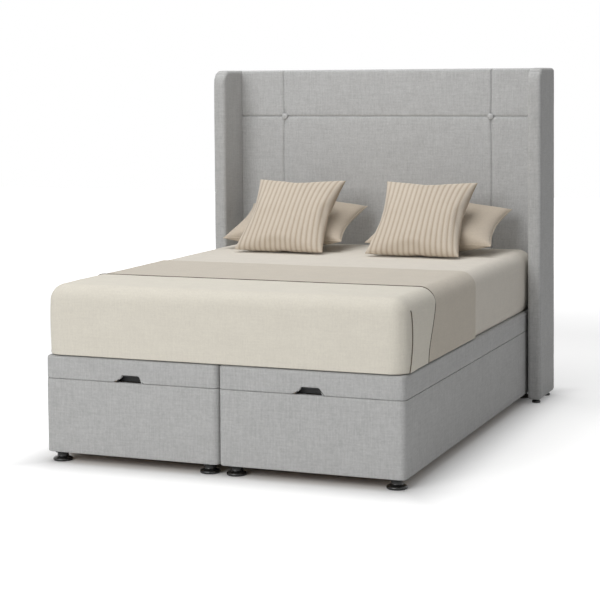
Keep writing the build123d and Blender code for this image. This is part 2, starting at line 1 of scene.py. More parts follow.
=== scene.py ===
"""Ottoman divan bed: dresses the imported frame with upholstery, bedding, hardware and a plain studio."""
import logging
import math
from dataclasses import dataclass, field
from enum import Enum
from typing import Callable, Optional, Sequence

import bpy
from mathutils import Matrix, Quaternion, Vector, noise


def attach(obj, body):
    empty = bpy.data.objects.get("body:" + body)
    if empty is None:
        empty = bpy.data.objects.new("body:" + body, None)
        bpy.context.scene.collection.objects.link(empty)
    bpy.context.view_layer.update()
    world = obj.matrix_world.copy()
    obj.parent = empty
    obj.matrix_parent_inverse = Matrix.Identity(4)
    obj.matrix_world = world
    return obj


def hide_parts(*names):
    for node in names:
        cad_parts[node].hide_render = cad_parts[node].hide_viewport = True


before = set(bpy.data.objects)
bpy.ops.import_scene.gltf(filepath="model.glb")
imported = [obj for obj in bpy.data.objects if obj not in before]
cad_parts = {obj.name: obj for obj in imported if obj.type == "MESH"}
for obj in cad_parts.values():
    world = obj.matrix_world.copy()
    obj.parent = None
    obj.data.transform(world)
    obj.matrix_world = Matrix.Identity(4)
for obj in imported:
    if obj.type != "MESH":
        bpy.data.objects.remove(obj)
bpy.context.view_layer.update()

LOG = logging.getLogger("bed")
HALF_DEPTH = 1.0425
REST_HEIGHT = 0.7075
TINY = 1e-6

Point = tuple[float, float, float]
Pair = tuple[float, float]
Colour = tuple[float, float, float]
Face = tuple[int, ...]
Shape = tuple[list[Point], list[Face]]
Near = Sequence[tuple[float, float, float]]
Edge = Callable[[float], float]


def row(y: float) -> float:
    """Turns a length counted from the foot face into the frame's Y."""
    return y - HALF_DEPTH


def ease(share: float) -> float:
    """Smooth step from 0 to 1."""
    share = min(1.0, max(0.0, share))
    return share * share * (3.0 - 2.0 * share)


def level_at(places: Sequence[float], levels: Sequence[float], place: float) -> float:
    """Reads a value along a line of measured ones.

    Args:
        places: Places in rising order.
        levels: Value at each place.
        place: Place to read.

    Returns:
        Value there, held flat past either end.
    """
    if place <= places[0]:
        return levels[0]
    for start, end, low, high in zip(places, places[1:], levels, levels[1:]):
        if place <= end:
            return low + (high - low) * (place - start) / (end - start) if end > start else high
    return levels[-1]


def ripple(point: Sequence[float], size: float, seed: float = 0.0) -> float:
    """Smooth wandering value from about -1 to 1.

    Args:
        point: Place in metres.
        size: Width of one wave in metres.
        seed: Shift that gives another pattern.

    Returns:
        The value at the place.
    """
    return noise.noise(Vector((point[0] / size + seed, point[1] / size - seed, point[2] / size + 2.0 * seed)))


# Finishes


class Tree:
    """Node tree, with short ways to add and join nodes."""

    def __init__(self, tree: bpy.types.NodeTree) -> None:
        """Keeps the tree that the nodes go into."""
        self.tree = tree

    def add(self, kind: str, inputs: Optional[dict] = None, **settings: object) -> bpy.types.Node:
        """Adds a node.

        Args:
            kind: Blender's name of the node type.
            inputs: Socket name or number to a constant or to another node's output.
            settings: Attributes of the node.

        Returns:
            The new node.
        """
        node = self.tree.nodes.new(kind)
        for key, value in settings.items():
            setattr(node, key, value)
        for key, value in (inputs or {}).items():
            self.feed(node.inputs[key], value)
        return node

    def feed(self, socket: bpy.types.NodeSocket, value: object) -> None:
        """Sets a socket to a constant or links an output to it.

        Args:
            socket: Socket to feed.
            value: Constant or output.
        """
        if isinstance(value, bpy.types.NodeSocket):
            self.tree.links.new(value, socket)
        else:
            socket.default_value = value

    def maths(self, operation: str, *values: object) -> bpy.types.NodeSocket:
        """Output of a maths node."""
        return self.add("ShaderNodeMath", dict(enumerate(values)), operation=operation).outputs[0]


class Graph(Tree):
    """Node tree of one material, with its shader and its object coordinates."""

    def __init__(self, name: str) -> None:
        """Makes the material with a surface shader of its own.

        Args:
            name: Name of the finish.
        """
        self.material = bpy.data.materials.new(f"{name}_finish")
        self.material.use_nodes = True
        super().__init__(self.material.node_tree)
        self.shader = self.tree.nodes["Principled BSDF"]
        self.place = self.add("ShaderNodeTexCoord").outputs["Object"]

    def spread(self, scale: Point) -> bpy.types.NodeSocket:
        """Object coordinates stretched by a factor along each axis."""
        return self.add("ShaderNodeMapping", {"Vector": self.place, "Scale": scale}).outputs[0]

    def grain(self, scale: Point, detail: float = 2.0, roughness: float = 0.55) -> bpy.types.NodeSocket:
        """Noise value from 0 to 1 with its own size along each axis."""
        inputs = {"Vector": self.spread(scale), "Scale": 1.0, "Detail": detail, "Roughness": roughness}
        return self.add("ShaderNodeTexNoise", inputs).outputs["Fac"]

    def threads(self, axis: str, pitch: float, wander: float) -> bpy.types.NodeSocket:
        """Bands of thread across one axis.

        Args:
            axis: Axis that the bands follow.
            pitch: Width of a thread in metres.
            wander: How far the bands stray.

        Returns:
            Value from 0 between threads to 1 on them.
        """
        inputs = {"Vector": self.place, "Scale": math.tau / 20.0 / pitch, "Distortion": wander}
        inputs.update({"Detail": 1.0, "Detail Scale": 0.35})
        wave = self.add("ShaderNodeTexWave", inputs, wave_type="BANDS", bands_direction=axis)
        return wave.outputs["Fac"]

    def bump(self, height: bpy.types.NodeSocket, depth: float, strength: float) -> None:
        """Raises the surface by a height field."""
        inputs = {"Height": height, "Distance": depth, "Strength": strength}
        self.feed(self.shader.inputs["Normal"], self.add("ShaderNodeBump", inputs).outputs[0])

    def blend(self, share: bpy.types.NodeSocket, low: Colour, high: Colour) -> bpy.types.NodeSocket:
        """Colour between two colours."""
        inputs = {0: share, 6: (*low, 1.0), 7: (*high, 1.0)}
        return self.add("ShaderNodeMix", inputs, data_type="RGBA").outputs[2]

    def finish(self, **values: float) -> bpy.types.Material:
        """Sets constants on the shader.

        Args:
            values: Shader socket, with _ for a space, to its constant.

        Returns:
            The material.
        """
        for key, value in values.items():
            self.shader.inputs[key.replace("_", " ").title()].default_value = value
        return self.material


@dataclass(frozen=True)
class WovenCloth:
    """Cloth with threads, slubs, flecks and soft patches of colour."""

    name: str
    colour: Colour
    pitch: float = 0.0014
    fleck: float = 0.10
    slub: float = 0.10
    patch: float = 0.07
    depth: float = 0.0006
    rough: float = 0.9
    sheen: float = 0.12
    nap: float = 0.0

    def make(self) -> bpy.types.Material:
        """Builds the material.

        Returns:
            The material.
        """
        g = Graph(self.name)
        x, y, z = (g.threads(axis, self.pitch, 1.2) for axis in "XYZ")
        weave = g.maths("ADD", g.maths("ADD", x, y), z)
        fleck = g.grain((130.0, 130.0, 130.0), 4.0, 0.7)
        upright = g.grain((170.0, 170.0, 16.0))
        level = g.grain((18.0, 18.0, 170.0))
        patch = g.grain((14.0, 14.0, 14.0), 3.0, 0.6)
        tone = g.maths("MULTIPLY_ADD", g.maths("SUBTRACT", fleck, 0.5), self.fleck * 4.0, 0.5)
        for part, weight in ((upright, self.slub * 2.4), (level, self.slub * 2.0), (patch, self.patch * 3.0)):
            tone = g.maths("MULTIPLY_ADD", g.maths("SUBTRACT", part, 0.5), weight, tone)
        tone = g.maths("MULTIPLY_ADD", g.maths("SUBTRACT", weave, 1.5), 0.015, tone)
        dark = tuple(c * 0.62 for c in self.colour)
        light = tuple(min(1.0, c * 1.38) for c in self.colour)
        clamped = g.add("ShaderNodeClamp", {0: tone}).outputs[0]
        g.feed(g.shader.inputs["Base Color"], g.blend(clamped, dark, light))
        g.feed(g.shader.inputs["Roughness"], g.maths("MULTIPLY_ADD", patch, 0.1, self.rough - 0.05))
        height = g.maths("MULTIPLY_ADD", weave, 0.12, g.maths("MULTIPLY_ADD", fleck, 1.0 + self.nap, upright))
        g.bump(height, self.depth, 0.35)
        return g.finish(Sheen_weight=self.sheen, Sheen_roughness=0.5)


@dataclass(frozen=True)
class RibbedCloth:
    """Cushion cloth with painted shade in its grooves, which are darker and browner than its ribs; the mesh
    carries the groove as a point value.
    """

    name: str
    rib: Colour
    # Groove colour: the rib colour darkened, as painted shade in the grooves.
    groove: Colour
    pitch: float = 0.0016

    def make(self) -> bpy.types.Material:
        """Builds the material.

        Returns:
            The material.
        """
        g = Graph(self.name)
        share = g.add("ShaderNodeAttribute", attribute_name="groove").outputs["Fac"]
        fleck = g.grain((260.0, 260.0, 260.0), 3.0, 0.65)
        patch = g.grain((22.0, 22.0, 22.0), 2.0, 0.6)
        tone = g.maths("MULTIPLY_ADD", g.maths("SUBTRACT", fleck, 0.5), 0.5, share)
        tone = g.maths("MULTIPLY_ADD", g.maths("SUBTRACT", patch, 0.5), 0.25, tone)
        clamped = g.add("ShaderNodeClamp", {0: tone}).outputs[0]
        # The groove share pulls the colour towards the groove colour: painted shade in the grooves.
        g.feed(g.shader.inputs["Base Color"], g.blend(clamped, self.rib, self.groove))
        g.feed(g.shader.inputs["Roughness"], g.maths("MULTIPLY_ADD", patch, 0.1, 0.82))
        weave = g.maths("ADD", g.threads("X", self.pitch, 1.0), g.threads("Y", self.pitch, 1.0))
        g.bump(g.maths("ADD", weave, fleck), 0.0006, 0.35)
        return g.finish(Sheen_weight=0.15, Sheen_roughness=0.5)


@dataclass(frozen=True)
class Timber:
    """Sawn board with growth lines along one axis."""

    name: str
    early: Colour
    late: Colour
    along: Point
    rough: float = 0.65

    def make(self) -> bpy.types.Material:
        """Builds the material.

        Returns:
            The material.
        """
        g = Graph(self.name)
        lines = g.grain(self.along, 5.0, 0.6)
        fibre = g.grain(tuple(4.0 * value for value in self.along), 2.0, 0.6)
        tone = g.maths("MULTIPLY_ADD", fibre, 0.35, g.maths("MULTIPLY", lines, 0.8))
        g.feed(g.shader.inputs["Base Color"], g.blend(tone, self.early, self.late))
        g.feed(g.shader.inputs["Roughness"], g.maths("MULTIPLY_ADD", lines, 0.2, self.rough - 0.1))
        g.bump(fibre, 0.0006, 0.3)
        return g.finish()


@dataclass(frozen=True)
class Moulding:
    """Plastic with a fine moulded skin."""

    name: str
    colour: Colour
    rough: float
    skin: float = 0.15

    def make(self) -> bpy.types.Material:
        """Builds the material.

        Returns:
            The material.
        """
        g = Graph(self.name)
        skin = g.grain((900.0, 900.0, 900.0), 2.0)
        wear = g.grain((60.0, 60.0, 60.0), 3.0)
        worn = tuple(c * 1.6 + 0.004 for c in self.colour)
        g.feed(g.shader.inputs["Base Color"], g.blend(wear, self.colour, worn))
        g.feed(g.shader.inputs["Roughness"], g.maths("MULTIPLY_ADD", wear, 0.16, self.rough - 0.08))
        g.bump(skin, 0.0002, self.skin)
        return g.finish()


@dataclass(frozen=True)
class Metal:
    """Plated or painted metal with fine brushing and light scuffs."""

    name: str
    colour: Colour
    metallic: float
    rough: float

    def make(self) -> bpy.types.Material:
        """Builds the material.

        Returns:
            The material.
        """
        g = Graph(self.name)
        brushed = g.grain((500.0, 60.0, 500.0), 2.0)
        cloud = g.grain((45.0, 45.0, 45.0), 4.0, 0.65)
        dull = tuple(c * 0.78 for c in self.colour)
        g.feed(g.shader.inputs["Base Color"], g.blend(cloud, dull, self.colour))
        g.feed(g.shader.inputs["Roughness"], g.maths("MULTIPLY_ADD", cloud, 0.2, self.rough - 0.1))
        g.bump(brushed, 0.0002, 0.12)
        return g.finish(Metallic=self.metallic)


class Finish(Enum):
    """Finishes of the bed."""

    LINEN = WovenCloth("linen_grey", (0.468, 0.468, 0.462), fleck=0.15, slub=0.17, patch=0.04)
    # Same grey linen as LINEN, made lighter for the headboard face and buttons: painted light where less lamp
    # light reaches them.
    LINEN_FACE = WovenCloth("linen_painted_light", (0.505, 0.507, 0.505), fleck=0.15, slub=0.17, patch=0.04)
    SHEET = WovenCloth("sheet_cream", (0.70, 0.655, 0.58), 0.0009, 0.05, 0.05, 0.04, 0.0004)
    COVERLET = WovenCloth("coverlet_cream", (0.76, 0.695, 0.605), 0.0011, 0.06, 0.06, 0.03, 0.0005)
    THROW = WovenCloth("throw_greige", (0.585, 0.53, 0.445), 0.0016, 0.08, 0.06, 0.03, 0.0007, 0.92, 0.2)
    # Dark brown of the tubes at the coverlet's head edge and corner folds: painted shadow of the rolled hem
    # and of the folds.
    PIPING = WovenCloth("painted_edge_shadow", (0.10, 0.075, 0.05), 0.0008, 0.08, 0.05, 0.05, 0.0003)
    PILLOW = WovenCloth("pillow_beige", (0.54, 0.465, 0.375), 0.0011, 0.07, 0.07, 0.06, 0.0005)
    # The darker groove colour is painted shade in the rib grooves.
    CUSHION = RibbedCloth("cushion_stripe", (0.64, 0.565, 0.47), (0.46, 0.37, 0.28))
    BACKING = WovenCloth("back_cloth", (0.035, 0.035, 0.036), 0.0012, 0.12, 0.08, 0.08, 0.0003)
    BOARD = Timber("chipboard", (0.62, 0.47, 0.29), (0.43, 0.30, 0.17), (30.0, 30.0, 30.0))
    SOFTWOOD = Timber("softwood", (0.68, 0.51, 0.31), (0.50, 0.33, 0.17), (60.0, 2.2, 60.0))
    HARDBOARD = Timber("hardboard", (0.30, 0.185, 0.10), (0.19, 0.11, 0.055), (90.0, 90.0, 90.0), 0.55)
    GLOSS_BLACK = Moulding("glide_plastic", (0.008, 0.008, 0.008), 0.28)
    CUP_BLACK = Moulding("cup_plastic", (0.009, 0.009, 0.009), 0.55)
    ZINC = Metal("zinc_steel", (0.62, 0.62, 0.60), 1.0, 0.38)
    STRUT_BLACK = Metal("strut_paint", (0.02, 0.02, 0.02), 0.0, 0.4)
    CHROME = Metal("strut_chrome", (0.82, 0.82, 0.83), 1.0, 0.16)

    def material(self) -> bpy.types.Material:
        """Blender material of the finish, made once."""
        return bpy.data.materials.get(f"{self.value.name}_finish") or self.value.make()


# Meshes


def piece(
    name: str, points: Sequence[Point], faces: Sequence[Sequence[int]], finish: Finish
) -> bpy.types.Object:
    """Makes a smooth-shaded mesh object.

    Args:
        name: Name of the piece.
        points: Vertex places in the frame.
        faces: Vertex numbers of each face.
        finish: Its finish.

    Returns:
        The object, linked to the scene.
    """
    mesh = bpy.data.meshes.new(name)
    mesh.from_pydata([tuple(p) for p in points], [], [tuple(f) for f in faces])
    mesh.validate()
    mesh.polygons.foreach_set("use_smooth", [True] * len(mesh.polygons))
    mesh.materials.append(finish.material())
    made = bpy.data.objects.new(name, mesh)
    bpy.context.scene.collection.objects.link(made)
    return made


def take_away(made: bpy.types.Object) -> None:
    """Removes an object that only helped to find a form, and its mesh.

    Args:
        made: The object.
    """
    mesh = made.data
    bpy.data.objects.remove(made)
    bpy.data.meshes.remove(mesh)


def ring_faces(count: int, rings: int, closed: bool = False) -> list[Face]:
    """Quads between closed rings of points.

    Args:
        count: Points in each ring.
        rings: Number of rings.
        closed: Whether the last ring joins the first.

    Returns:
        Faces as vertex numbers.
    """
    faces = []
    for ring in range(rings if closed else rings - 1):
        low, high = ring * count, (ring + 1) % rings * count
        for step in range(count):
            after = (step + 1) % count
            faces.append((low + step, low + after, high + after, high + step))
    return faces


def grid_faces(columns: int, rows: int) -> list[Face]:
    """Quads of an open grid stored row by row.

    Args:
        columns: Points in each row.
        rows: Number of rows.

    Returns:
        Faces as vertex numbers.
    """
    faces = []
    for r in range(rows - 1):
        for c in range(columns - 1):
            a = r * columns + c
            faces.append((a, a + 1, a + columns + 1, a + columns))
    return faces


def stops(low: float, high: float, step: float, near: Near = ()) -> list[float]:
    """Coordinates from low to high, closer together near given places.

    Args:
        low: First coordinate.
        high: Last coordinate.
        step: Usual spacing.
        near: Places as (centre, reach, spacing).

    Returns:
        Rising coordinates.
    """
    found = [low]
    while found[-1] < high - TINY:
        here = found[-1]
        gap = step
        for centre, reach, fine in near:
            away = abs(here - centre)
            if away <= reach:
                gap = min(gap, fine + (step - fine) * (away / reach) ** 2)
            elif here < centre - reach:
                gap = min(gap, centre - reach - here + fine)
        found.append(min(high, here + max(gap, 1e-4)))
    if len(found) > 2 and found[-1] - found[-2] < 0.25 * step:
        del found[-2]
    return found


@dataclass
class RoundedPlan:
    """Rounded rectangle seen from above, walked anticlockwise from the foot edge."""

    x: Pair
    y: Pair
    corner: float
    cell: float = 0.03
    turns: int = 8
    foot_near: Near = ()

    def walk(self, inset: float) -> list[Pair]:
        """Points of the outline drawn in by an inset, always as many.

        Args:
            inset: Distance inwards.

        Returns:
            Points as (x, y).
        """
        reach = max(self.corner, inset + 1e-4)
        radius = max(self.corner - inset, 1e-4)
        shift = reach - radius
        (x0, x1), (y0, y1) = self.x, self.y
        along_x = stops(x0 + self.corner, x1 - self.corner, self.cell, self.foot_near)
        along_y = stops(y0 + self.corner, y1 - self.corner, self.cell)
        squeeze_x = (x1 - x0 - 2 * reach) / (x1 - x0 - 2 * self.corner)
        squeeze_y = (y1 - y0 - 2 * reach) / (y1 - y0 - 2 * self.corner)
        middle_x, middle_y = (x0 + x1) / 2, (y0 + y1) / 2
        xs = [middle_x + (v - middle_x) * squeeze_x for v in along_x]
        ys = [middle_y + (v - middle_y) * squeeze_y for v in along_y]
        points = [(v, y0 + shift) for v in xs[:-1]]
        points += self.arc((x1 - reach, y0 + reach), radius, -90)
        points += [(x1 - shift, v) for v in ys[:-1]]
        points += self.arc((x1 - reach, y1 - reach), radius, 0)
        points += [(v, y1 - shift) for v in reversed(xs[1:])]
        points += self.arc((x0 + reach, y1 - reach), radius, 90)
        points += [(x0 + shift, v) for v in reversed(ys[1:])]
        return points + self.arc((x0 + reach, y0 + reach), radius, 180)

    def arc(self, centre: Pair, radius: float, start: float) -> list[Pair]:
        """Quarter turn about a centre without its last point."""
        angles = [math.radians(start + 90.0 * step / self.turns) for step in range(self.turns)]
        return [(centre[0] + radius * math.cos(a), centre[1] + radius * math.sin(a)) for a in angles]


@dataclass
class RoundedBlock:
    """Box with rounded edges, covered by an even grid on the sides that are kept."""

    low: Point
    high: Point
    radius: float
    cell: float = 0.03
    turns: int = 4
    skip: frozenset = frozenset()

    def axis_stops(self, axis: int) -> list[float]:
        """Grid coordinates along an axis, closer in the rounded zones.

        Args:
            axis: Number of the axis.

        Returns:
            Rising coordinates.
        """
        low, high, r = self.low[axis], self.high[axis], self.radius
        edge = [r * math.tan(math.pi / 4 * step / self.turns) for step in range(self.turns + 1)]
        first = [low + r - value for value in reversed(edge)]
        last = [high - r + value for value in edge]
        inner = max(1, round((high - low - 2 * r) / self.cell))
        middle = [low + r + (high - low - 2 * r) * step / inner for step in range(1, inner)]
        return first + middle + last

    def rounded(self, point: Point) -> Point:
        """Moves a point of the plain box onto the rounded one.

        Args:
            point: Point of the plain box.

        Returns:
            The same point on the rounded box.
        """
        limits = zip(point, self.low, self.high)
        core = [min(max(v, low + self.radius), high - self.radius) for v, low, high in limits]
        away = [v - c for v, c in zip(point, core)]
        span = math.hypot(*away)
        if span < 1e-9:
            return point
        return tuple(c + self.radius * a / span for c, a in zip(core, away))

    def build(self) -> Shape:
        """Makes the grid of the kept sides; a side to skip is named as -x, +x and so on.

        Returns:
            Points and faces.
        """
        lines = [self.axis_stops(axis) for axis in range(3)]
        known: dict[Point, int] = {}
        points: list[Point] = []
        faces: list[Face] = []

        def number(point: Point) -> int:
            """Vertex number of a box point.

            Args:
                point: Point of the plain box.

            Returns:
                Its number.
            """
            key = tuple(round(v, 7) for v in point)
            if key not in known:
                known[key] = len(points)
                points.append(self.rounded(point))
            return known[key]

        for axis, letter in enumerate("xyz"):
            first, second = [other for other in range(3) if other != axis]
            for sign in (-1, 1):
                if f"{'+' if sign > 0 else '-'}{letter}" in self.skip:
                    continue
                level = self.high[axis] if sign > 0 else self.low[axis]
                for a0, a1 in zip(lines[first], lines[first][1:]):
                    for b0, b1 in zip(lines[second], lines[second][1:]):
                        corners = []
                        for a, b in ((a0, b0), (a1, b0), (a1, b1), (a0, b1)):
                            point = [level, level, level]
                            point[first], point[second] = a, b
                            corners.append(number(tuple(point)))
                        flip = (sign > 0) == (axis == 1)
                        faces.append(tuple(reversed(corners)) if flip else tuple(corners))
        return points, faces


def tube(
    name: str, path: Sequence[Point], radius: float, finish: Finish, closed: bool, sides: int = 8
) -> bpy.types.Object:
    """Round piping along a line.

    Args:
        name: Name of the piece.
        path: Points of the line.
        radius: Radius of the piping.
        finish: Its finish.
        closed: Whether the line is a loop.
        sides: Points round the section.

    Returns:
        The piping object.
    """
    points, count = [], len(path)
    normal = Vector((0.0, 0.0, 1.0))
    for step, here in enumerate(path):
        before = path[step - 1] if step or closed else here
        after = path[(step + 1) % count] if step + 1 < count or closed else here
        along = (Vector(after) - Vector(before)).normalized()
        normal = normal - along * normal.dot(along)
        normal = normal.normalized() if normal.length > 1e-6 else along.orthogonal().normalized()
        across = along.cross(normal)
        for side in range(sides):
            turn = math.tau * side / sides
            points.append(Vector(here) + (normal * math.cos(turn) + across * math.sin(turn)) * radius)
    faces = ring_faces(sides, count, closed)
    if not closed:
        faces += [tuple(range(sides)), tuple(reversed(range(len(points) - sides, len(points))))]
    return piece(name, points, faces, finish)


def lathe(profile: Sequence[Pair], centre: Pair, sides: int, base: int) -> Shape:
    """Turned form about an upright axis.

    Args:
        profile: (radius, height) points from the bottom to the top.
        centre: (x, y) of the axis.
        sides: Points round the form.
        base: Number of its first vertex.

    Returns:
        Points and faces.
    """
    points = []
    for radius, height in profile:
        for side in range(sides):
            turn = math.tau * side / sides
            points.append((centre[0] + radius * math.cos(turn), centre[1] + radius * math.sin(turn), height))
    faces = [tuple(base + v for v in face) for face in ring_faces(sides, len(profile))]
    top = base + (len(profile) - 1) * sides
    faces += [tuple(base + v for v in reversed(range(sides))), tuple(range(top, top + sides))]
    return points, faces


def smooth_over(made: bpy.types.Object, levels: int) -> None:
    """Adds a subdivision surface."""
    modifier = made.modifiers.new("soft", "SUBSURF")
    modifier.levels = modifier.render_levels = levels


def thicken(made: bpy.types.Object, depth: float) -> None:
    """Gives a single sheet its thickness inwards.

    Args:
        made: The sheet.
        depth: Thickness.
    """
    modifier = made.modifiers.new("cloth", "SOLIDIFY")
    modifier.thickness = depth
    modifier.offset = -1.0


# Base, lids and headboard


@dataclass
class Upholstery:
    """Grey cloth over thin padding: how far it bulges and ripples."""

    swell: float = 0.0012
    wave: float = 0.16
    probe: float = 0.001

    def shift(self, point: Point, seed: float) -> float:
        """Outward shift at a point."""
        broad, fine = ripple(point, self.wave, seed), ripple(point, self.wave / 3, seed + 3.0)
        return self.swell * (0.65 * broad + 0.35 * fine)

    def pushed(self, outer: Pair, inner: Pair, height: float, share: float, seed: float) -> Pair:
        """Shifts an outline point outwards by the padding's ripple.

        Args:
            outer: Point of the outline.
            inner: The same point with the outline drawn in by the probe.
            height: Height of the outline.
            share: Share of the shift that applies there.
            seed: Shift that gives another pattern.

        Returns:
            The shifted point.
        """
        shift = self.shift((outer[0], outer[1], height), seed) * share
        return tuple(o + (o - i) / self.probe * min(shift, self.swell) for o, i in zip(outer, inner))

    def swollen(
        self, plan: RoundedPlan, inset: float, height: float, share: float, seed: float
    ) -> list[Pair]:
        """Outline of a plan with every point shifted by the padding's ripple.

        Args:
            plan: Plan of the padded box.
            inset: Distance inwards.
            height: Height of the outline.
            share: Share of the shift that applies there.
            seed: Shift that gives another pattern.

        Returns:
            Points as (x, y).
        """
        pairs = zip(plan.walk(inset), plan.walk(self.probe))
        return [self.pushed(outer, inner, height, share, seed) for outer, inner in pairs]


@dataclass
class DivanBase:
    """Two upholstered boxes on glides."""

    half_gap: float = 0.003
    width: float = 1.5
    length: float = 2.0
    low: float = 0.041
    top: float = 0.335
    corner: float = 0.024
    wall: float = 0.024
    edge: float = 0.004
    wrap: float = 0.035
    slack: float = 0.0006
    fade: float = 0.03
    steps: int = 11
    seed: float = 5.0
    tuck: Sequence[Pair] = ((0.0055, 0.001), (0.0035, 0.0), (0.0008, 0.0012))
    padding: Upholstery = field(default_factory=Upholstery)
    glide_rows: Pair = (0.048, 1.952)
    glide_columns: Pair = (0.056, 0.702)
    glide_disc: Sequence[Pair] = (
        (0.034, 0.0), (0.0385, 0.001), (0.04, 0.0035), (0.04, 0.007), (0.0385, 0.0105), (0.034, 0.0133),
    )
    glide_stem: Sequence[Pair] = (
        (0.028, 0.0152), (0.0235, 0.0175), (0.0225, 0.021), (0.0228, 0.03), (0.0235, 0.0325), (0.031, 0.0335),
    )
    glide_flange: Sequence[Pair] = ((0.0315, 0.035), (0.0315, 0.0402), (0.030, 0.0408))

    def build(self) -> None:
        """Makes the covers and the glides."""
        for side, name in ((-1, "left"), (1, "right")):
            self.cover(side, name)
        self.glides()

    def plan(self, side: int) -> RoundedPlan:
        """Plan of one box."""
        x = sorted((side * self.half_gap / 2, side * self.width / 2))
        return RoundedPlan((x[0], x[1]), (row(0.0), row(self.length)), self.corner)

    def profile(self) -> list[Pair]:
        """Section of the cover as (inset, height).

        Returns:
            Points from the bottom edge to the cloth's end inside the wall.
        """
        section = [(inset, self.low + rise) for inset, rise in self.tuck] + [(0.0, self.low + self.edge)]
        rise = self.top - self.low - 2 * self.edge
        for step in range(1, self.steps + 1):
            section.append((0.0, self.low + self.edge + rise * step / self.steps))
        over = [(0.0012, 0.001), (self.edge, 0.0002), (self.wall - self.edge, 0.0002), (self.wall, 0.002)]
        inside = self.wall + self.slack
        over += [(inside, self.wrap / 2), (inside, self.wrap)]
        return section + [(inset, self.top - fall) for inset, fall in over]

    def cover(self, side: int, name: str) -> None:
        """Cloth cover of one box.

        Args:
            side: -1 for the left one, 1 for the right one.
            name: Its name, left or right.
        """
        plan, points = self.plan(side), []
        for inset, height in self.profile():
            outline = plan.walk(inset)
            if inset < self.padding.probe and self.low + self.edge <= height <= self.top - self.edge:
                share = ease(min(height - self.low, self.top - height) / self.fade)
                outline = self.padding.swollen(plan, inset, height, share, self.seed * side)
            points += [(x, y, height) for x, y in outline]
        faces = ring_faces(len(plan.walk(0.0)), len(self.profile()))
        made = piece(f"base_upholstery_{name}", points, faces, Finish.LINEN)
        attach(made, "base")
        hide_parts(f"base_cover_{name}")

    def glides(self) -> None:
        """Eight turned plastic glides with a domed disc, a waisted stem and a top flange."""
        profile = (*self.glide_disc, *self.glide_stem, *self.glide_flange)
        points, faces = [], []
        for y in self.glide_rows:
            for x in self.glide_columns:
                for side in (-1, 1):
                    more, extra = lathe(profile, (side * x, row(y)), 40, len(points))
                    points, faces = points + more, faces + extra
        made = piece("glides", points, faces, Finish.GLOSS_BLACK)
        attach(made, "base")
        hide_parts("base_glides")


@dataclass
class LidPair:
    """Two upholstered lids with finger notches at the foot."""

    base: DivanBase
    low: float = 0.336
    top: float = 0.426
    edge: float = 0.010
    notch_centre: float = 0.37575
    notch_half: float = 0.0470
    notch_margin: float = 0.001
    notch_half_top: float = 0.0392
    notch_height: float = 0.0272
    notch_back: float = 0.03
    notch_clear: float = 0.0006
    notch_near: Pair = (0.075, 0.0018)
    foot_round: float = 0.004
    still: float = 0.006
    fade: float = 0.02
    steps: int = 5
    seed: float = 7.0
    tuck: Sequence[Pair] = ((0.022, 0.0022), (0.006, 0.0004), (0.003, 0.0), (0.0008, 0.001))
    deck_insets: Sequence[float] = (0.02, 0.05, 0.12, 0.22, 0.34)
    padding: Upholstery = field(default_factory=lambda: Upholstery(0.001, 0.13))

    def build(self) -> None:
        """Makes both covers."""
        for side, name in ((-1, "left"), (1, "right")):
            self.cover(side, name)

    def profile(self) -> list[Pair]:
        """Section of the cover as (inset, height).

        Returns:
            Points from the tucked lower edge to the top.
        """
        section = [(inset, self.low + rise) for inset, rise in (*self.tuck, (0.0, self.foot_round))]
        rise = self.top - self.edge - self.low - self.foot_round
        for step in range(1, self.steps + 1):
            section.append((0.0, self.low + self.foot_round + rise * step / self.steps))
        for step in range(1, self.steps + 1):
            turn = math.pi / 2 * step / self.steps
            section.append((self.edge * (1 - math.cos(turn)), self.top - self.edge * (1 - math.sin(turn))))
        return section + [(inset, self.top) for inset in self.deck_insets]

    def raised(self, x: float, y: float, height: float, side: int) -> float:
        """Height of a cover point, lifted over the finger notch.

        Args:
            x: X of the point.
            y: Y of the point.
            height: Its height without the notch.
            side: -1 for the left lid, 1 for the right one.

        Returns:
            Its height.
        """
        across = abs(x - side * self.notch_centre)
        reach = self.notch_half + self.notch_margin
        if y > row(self.notch_back) or across > reach:
            return height
        slope = (reach - across) / (reach - self.notch_half_top)
        mouth = self.notch_height * min(1.0, max(0.0, slope)) + self.notch_clear
        full = self.top - self.low
        return self.low + mouth + (height - self.low) * (full - mouth) / full

    def cover(self, side: int, name: str) -> None:
        """Cloth cover of one lid.

        Args:
            side: -1 for the left one, 1 for the right one.
            name: Its name, left or right.
        """
        plan = self.base.plan(side)
        plan.foot_near = [(side * self.notch_centre, *self.notch_near)]
        points = []
        for inset, height in self.profile():
            outline = plan.walk(inset)
            if inset < self.padding.probe / 2 and height > self.low + self.still:
                share = ease((height - self.low) / self.fade)
                outline = self.padding.swollen(plan, inset, height, share, self.seed * side)
            points += [(x, y, self.raised(x, y, height, side)) for x, y in outline]
        count, rings = len(plan.walk(0.0)), len(self.profile())
        faces = ring_faces(count, rings) + [tuple(range(count * (rings - 1), count * rings))]
        made = piece(f"lid_upholstery_{name}", points, faces, Finish.LINEN)
        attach(made, "lid")
        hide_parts(f"lid_cover_{name}")


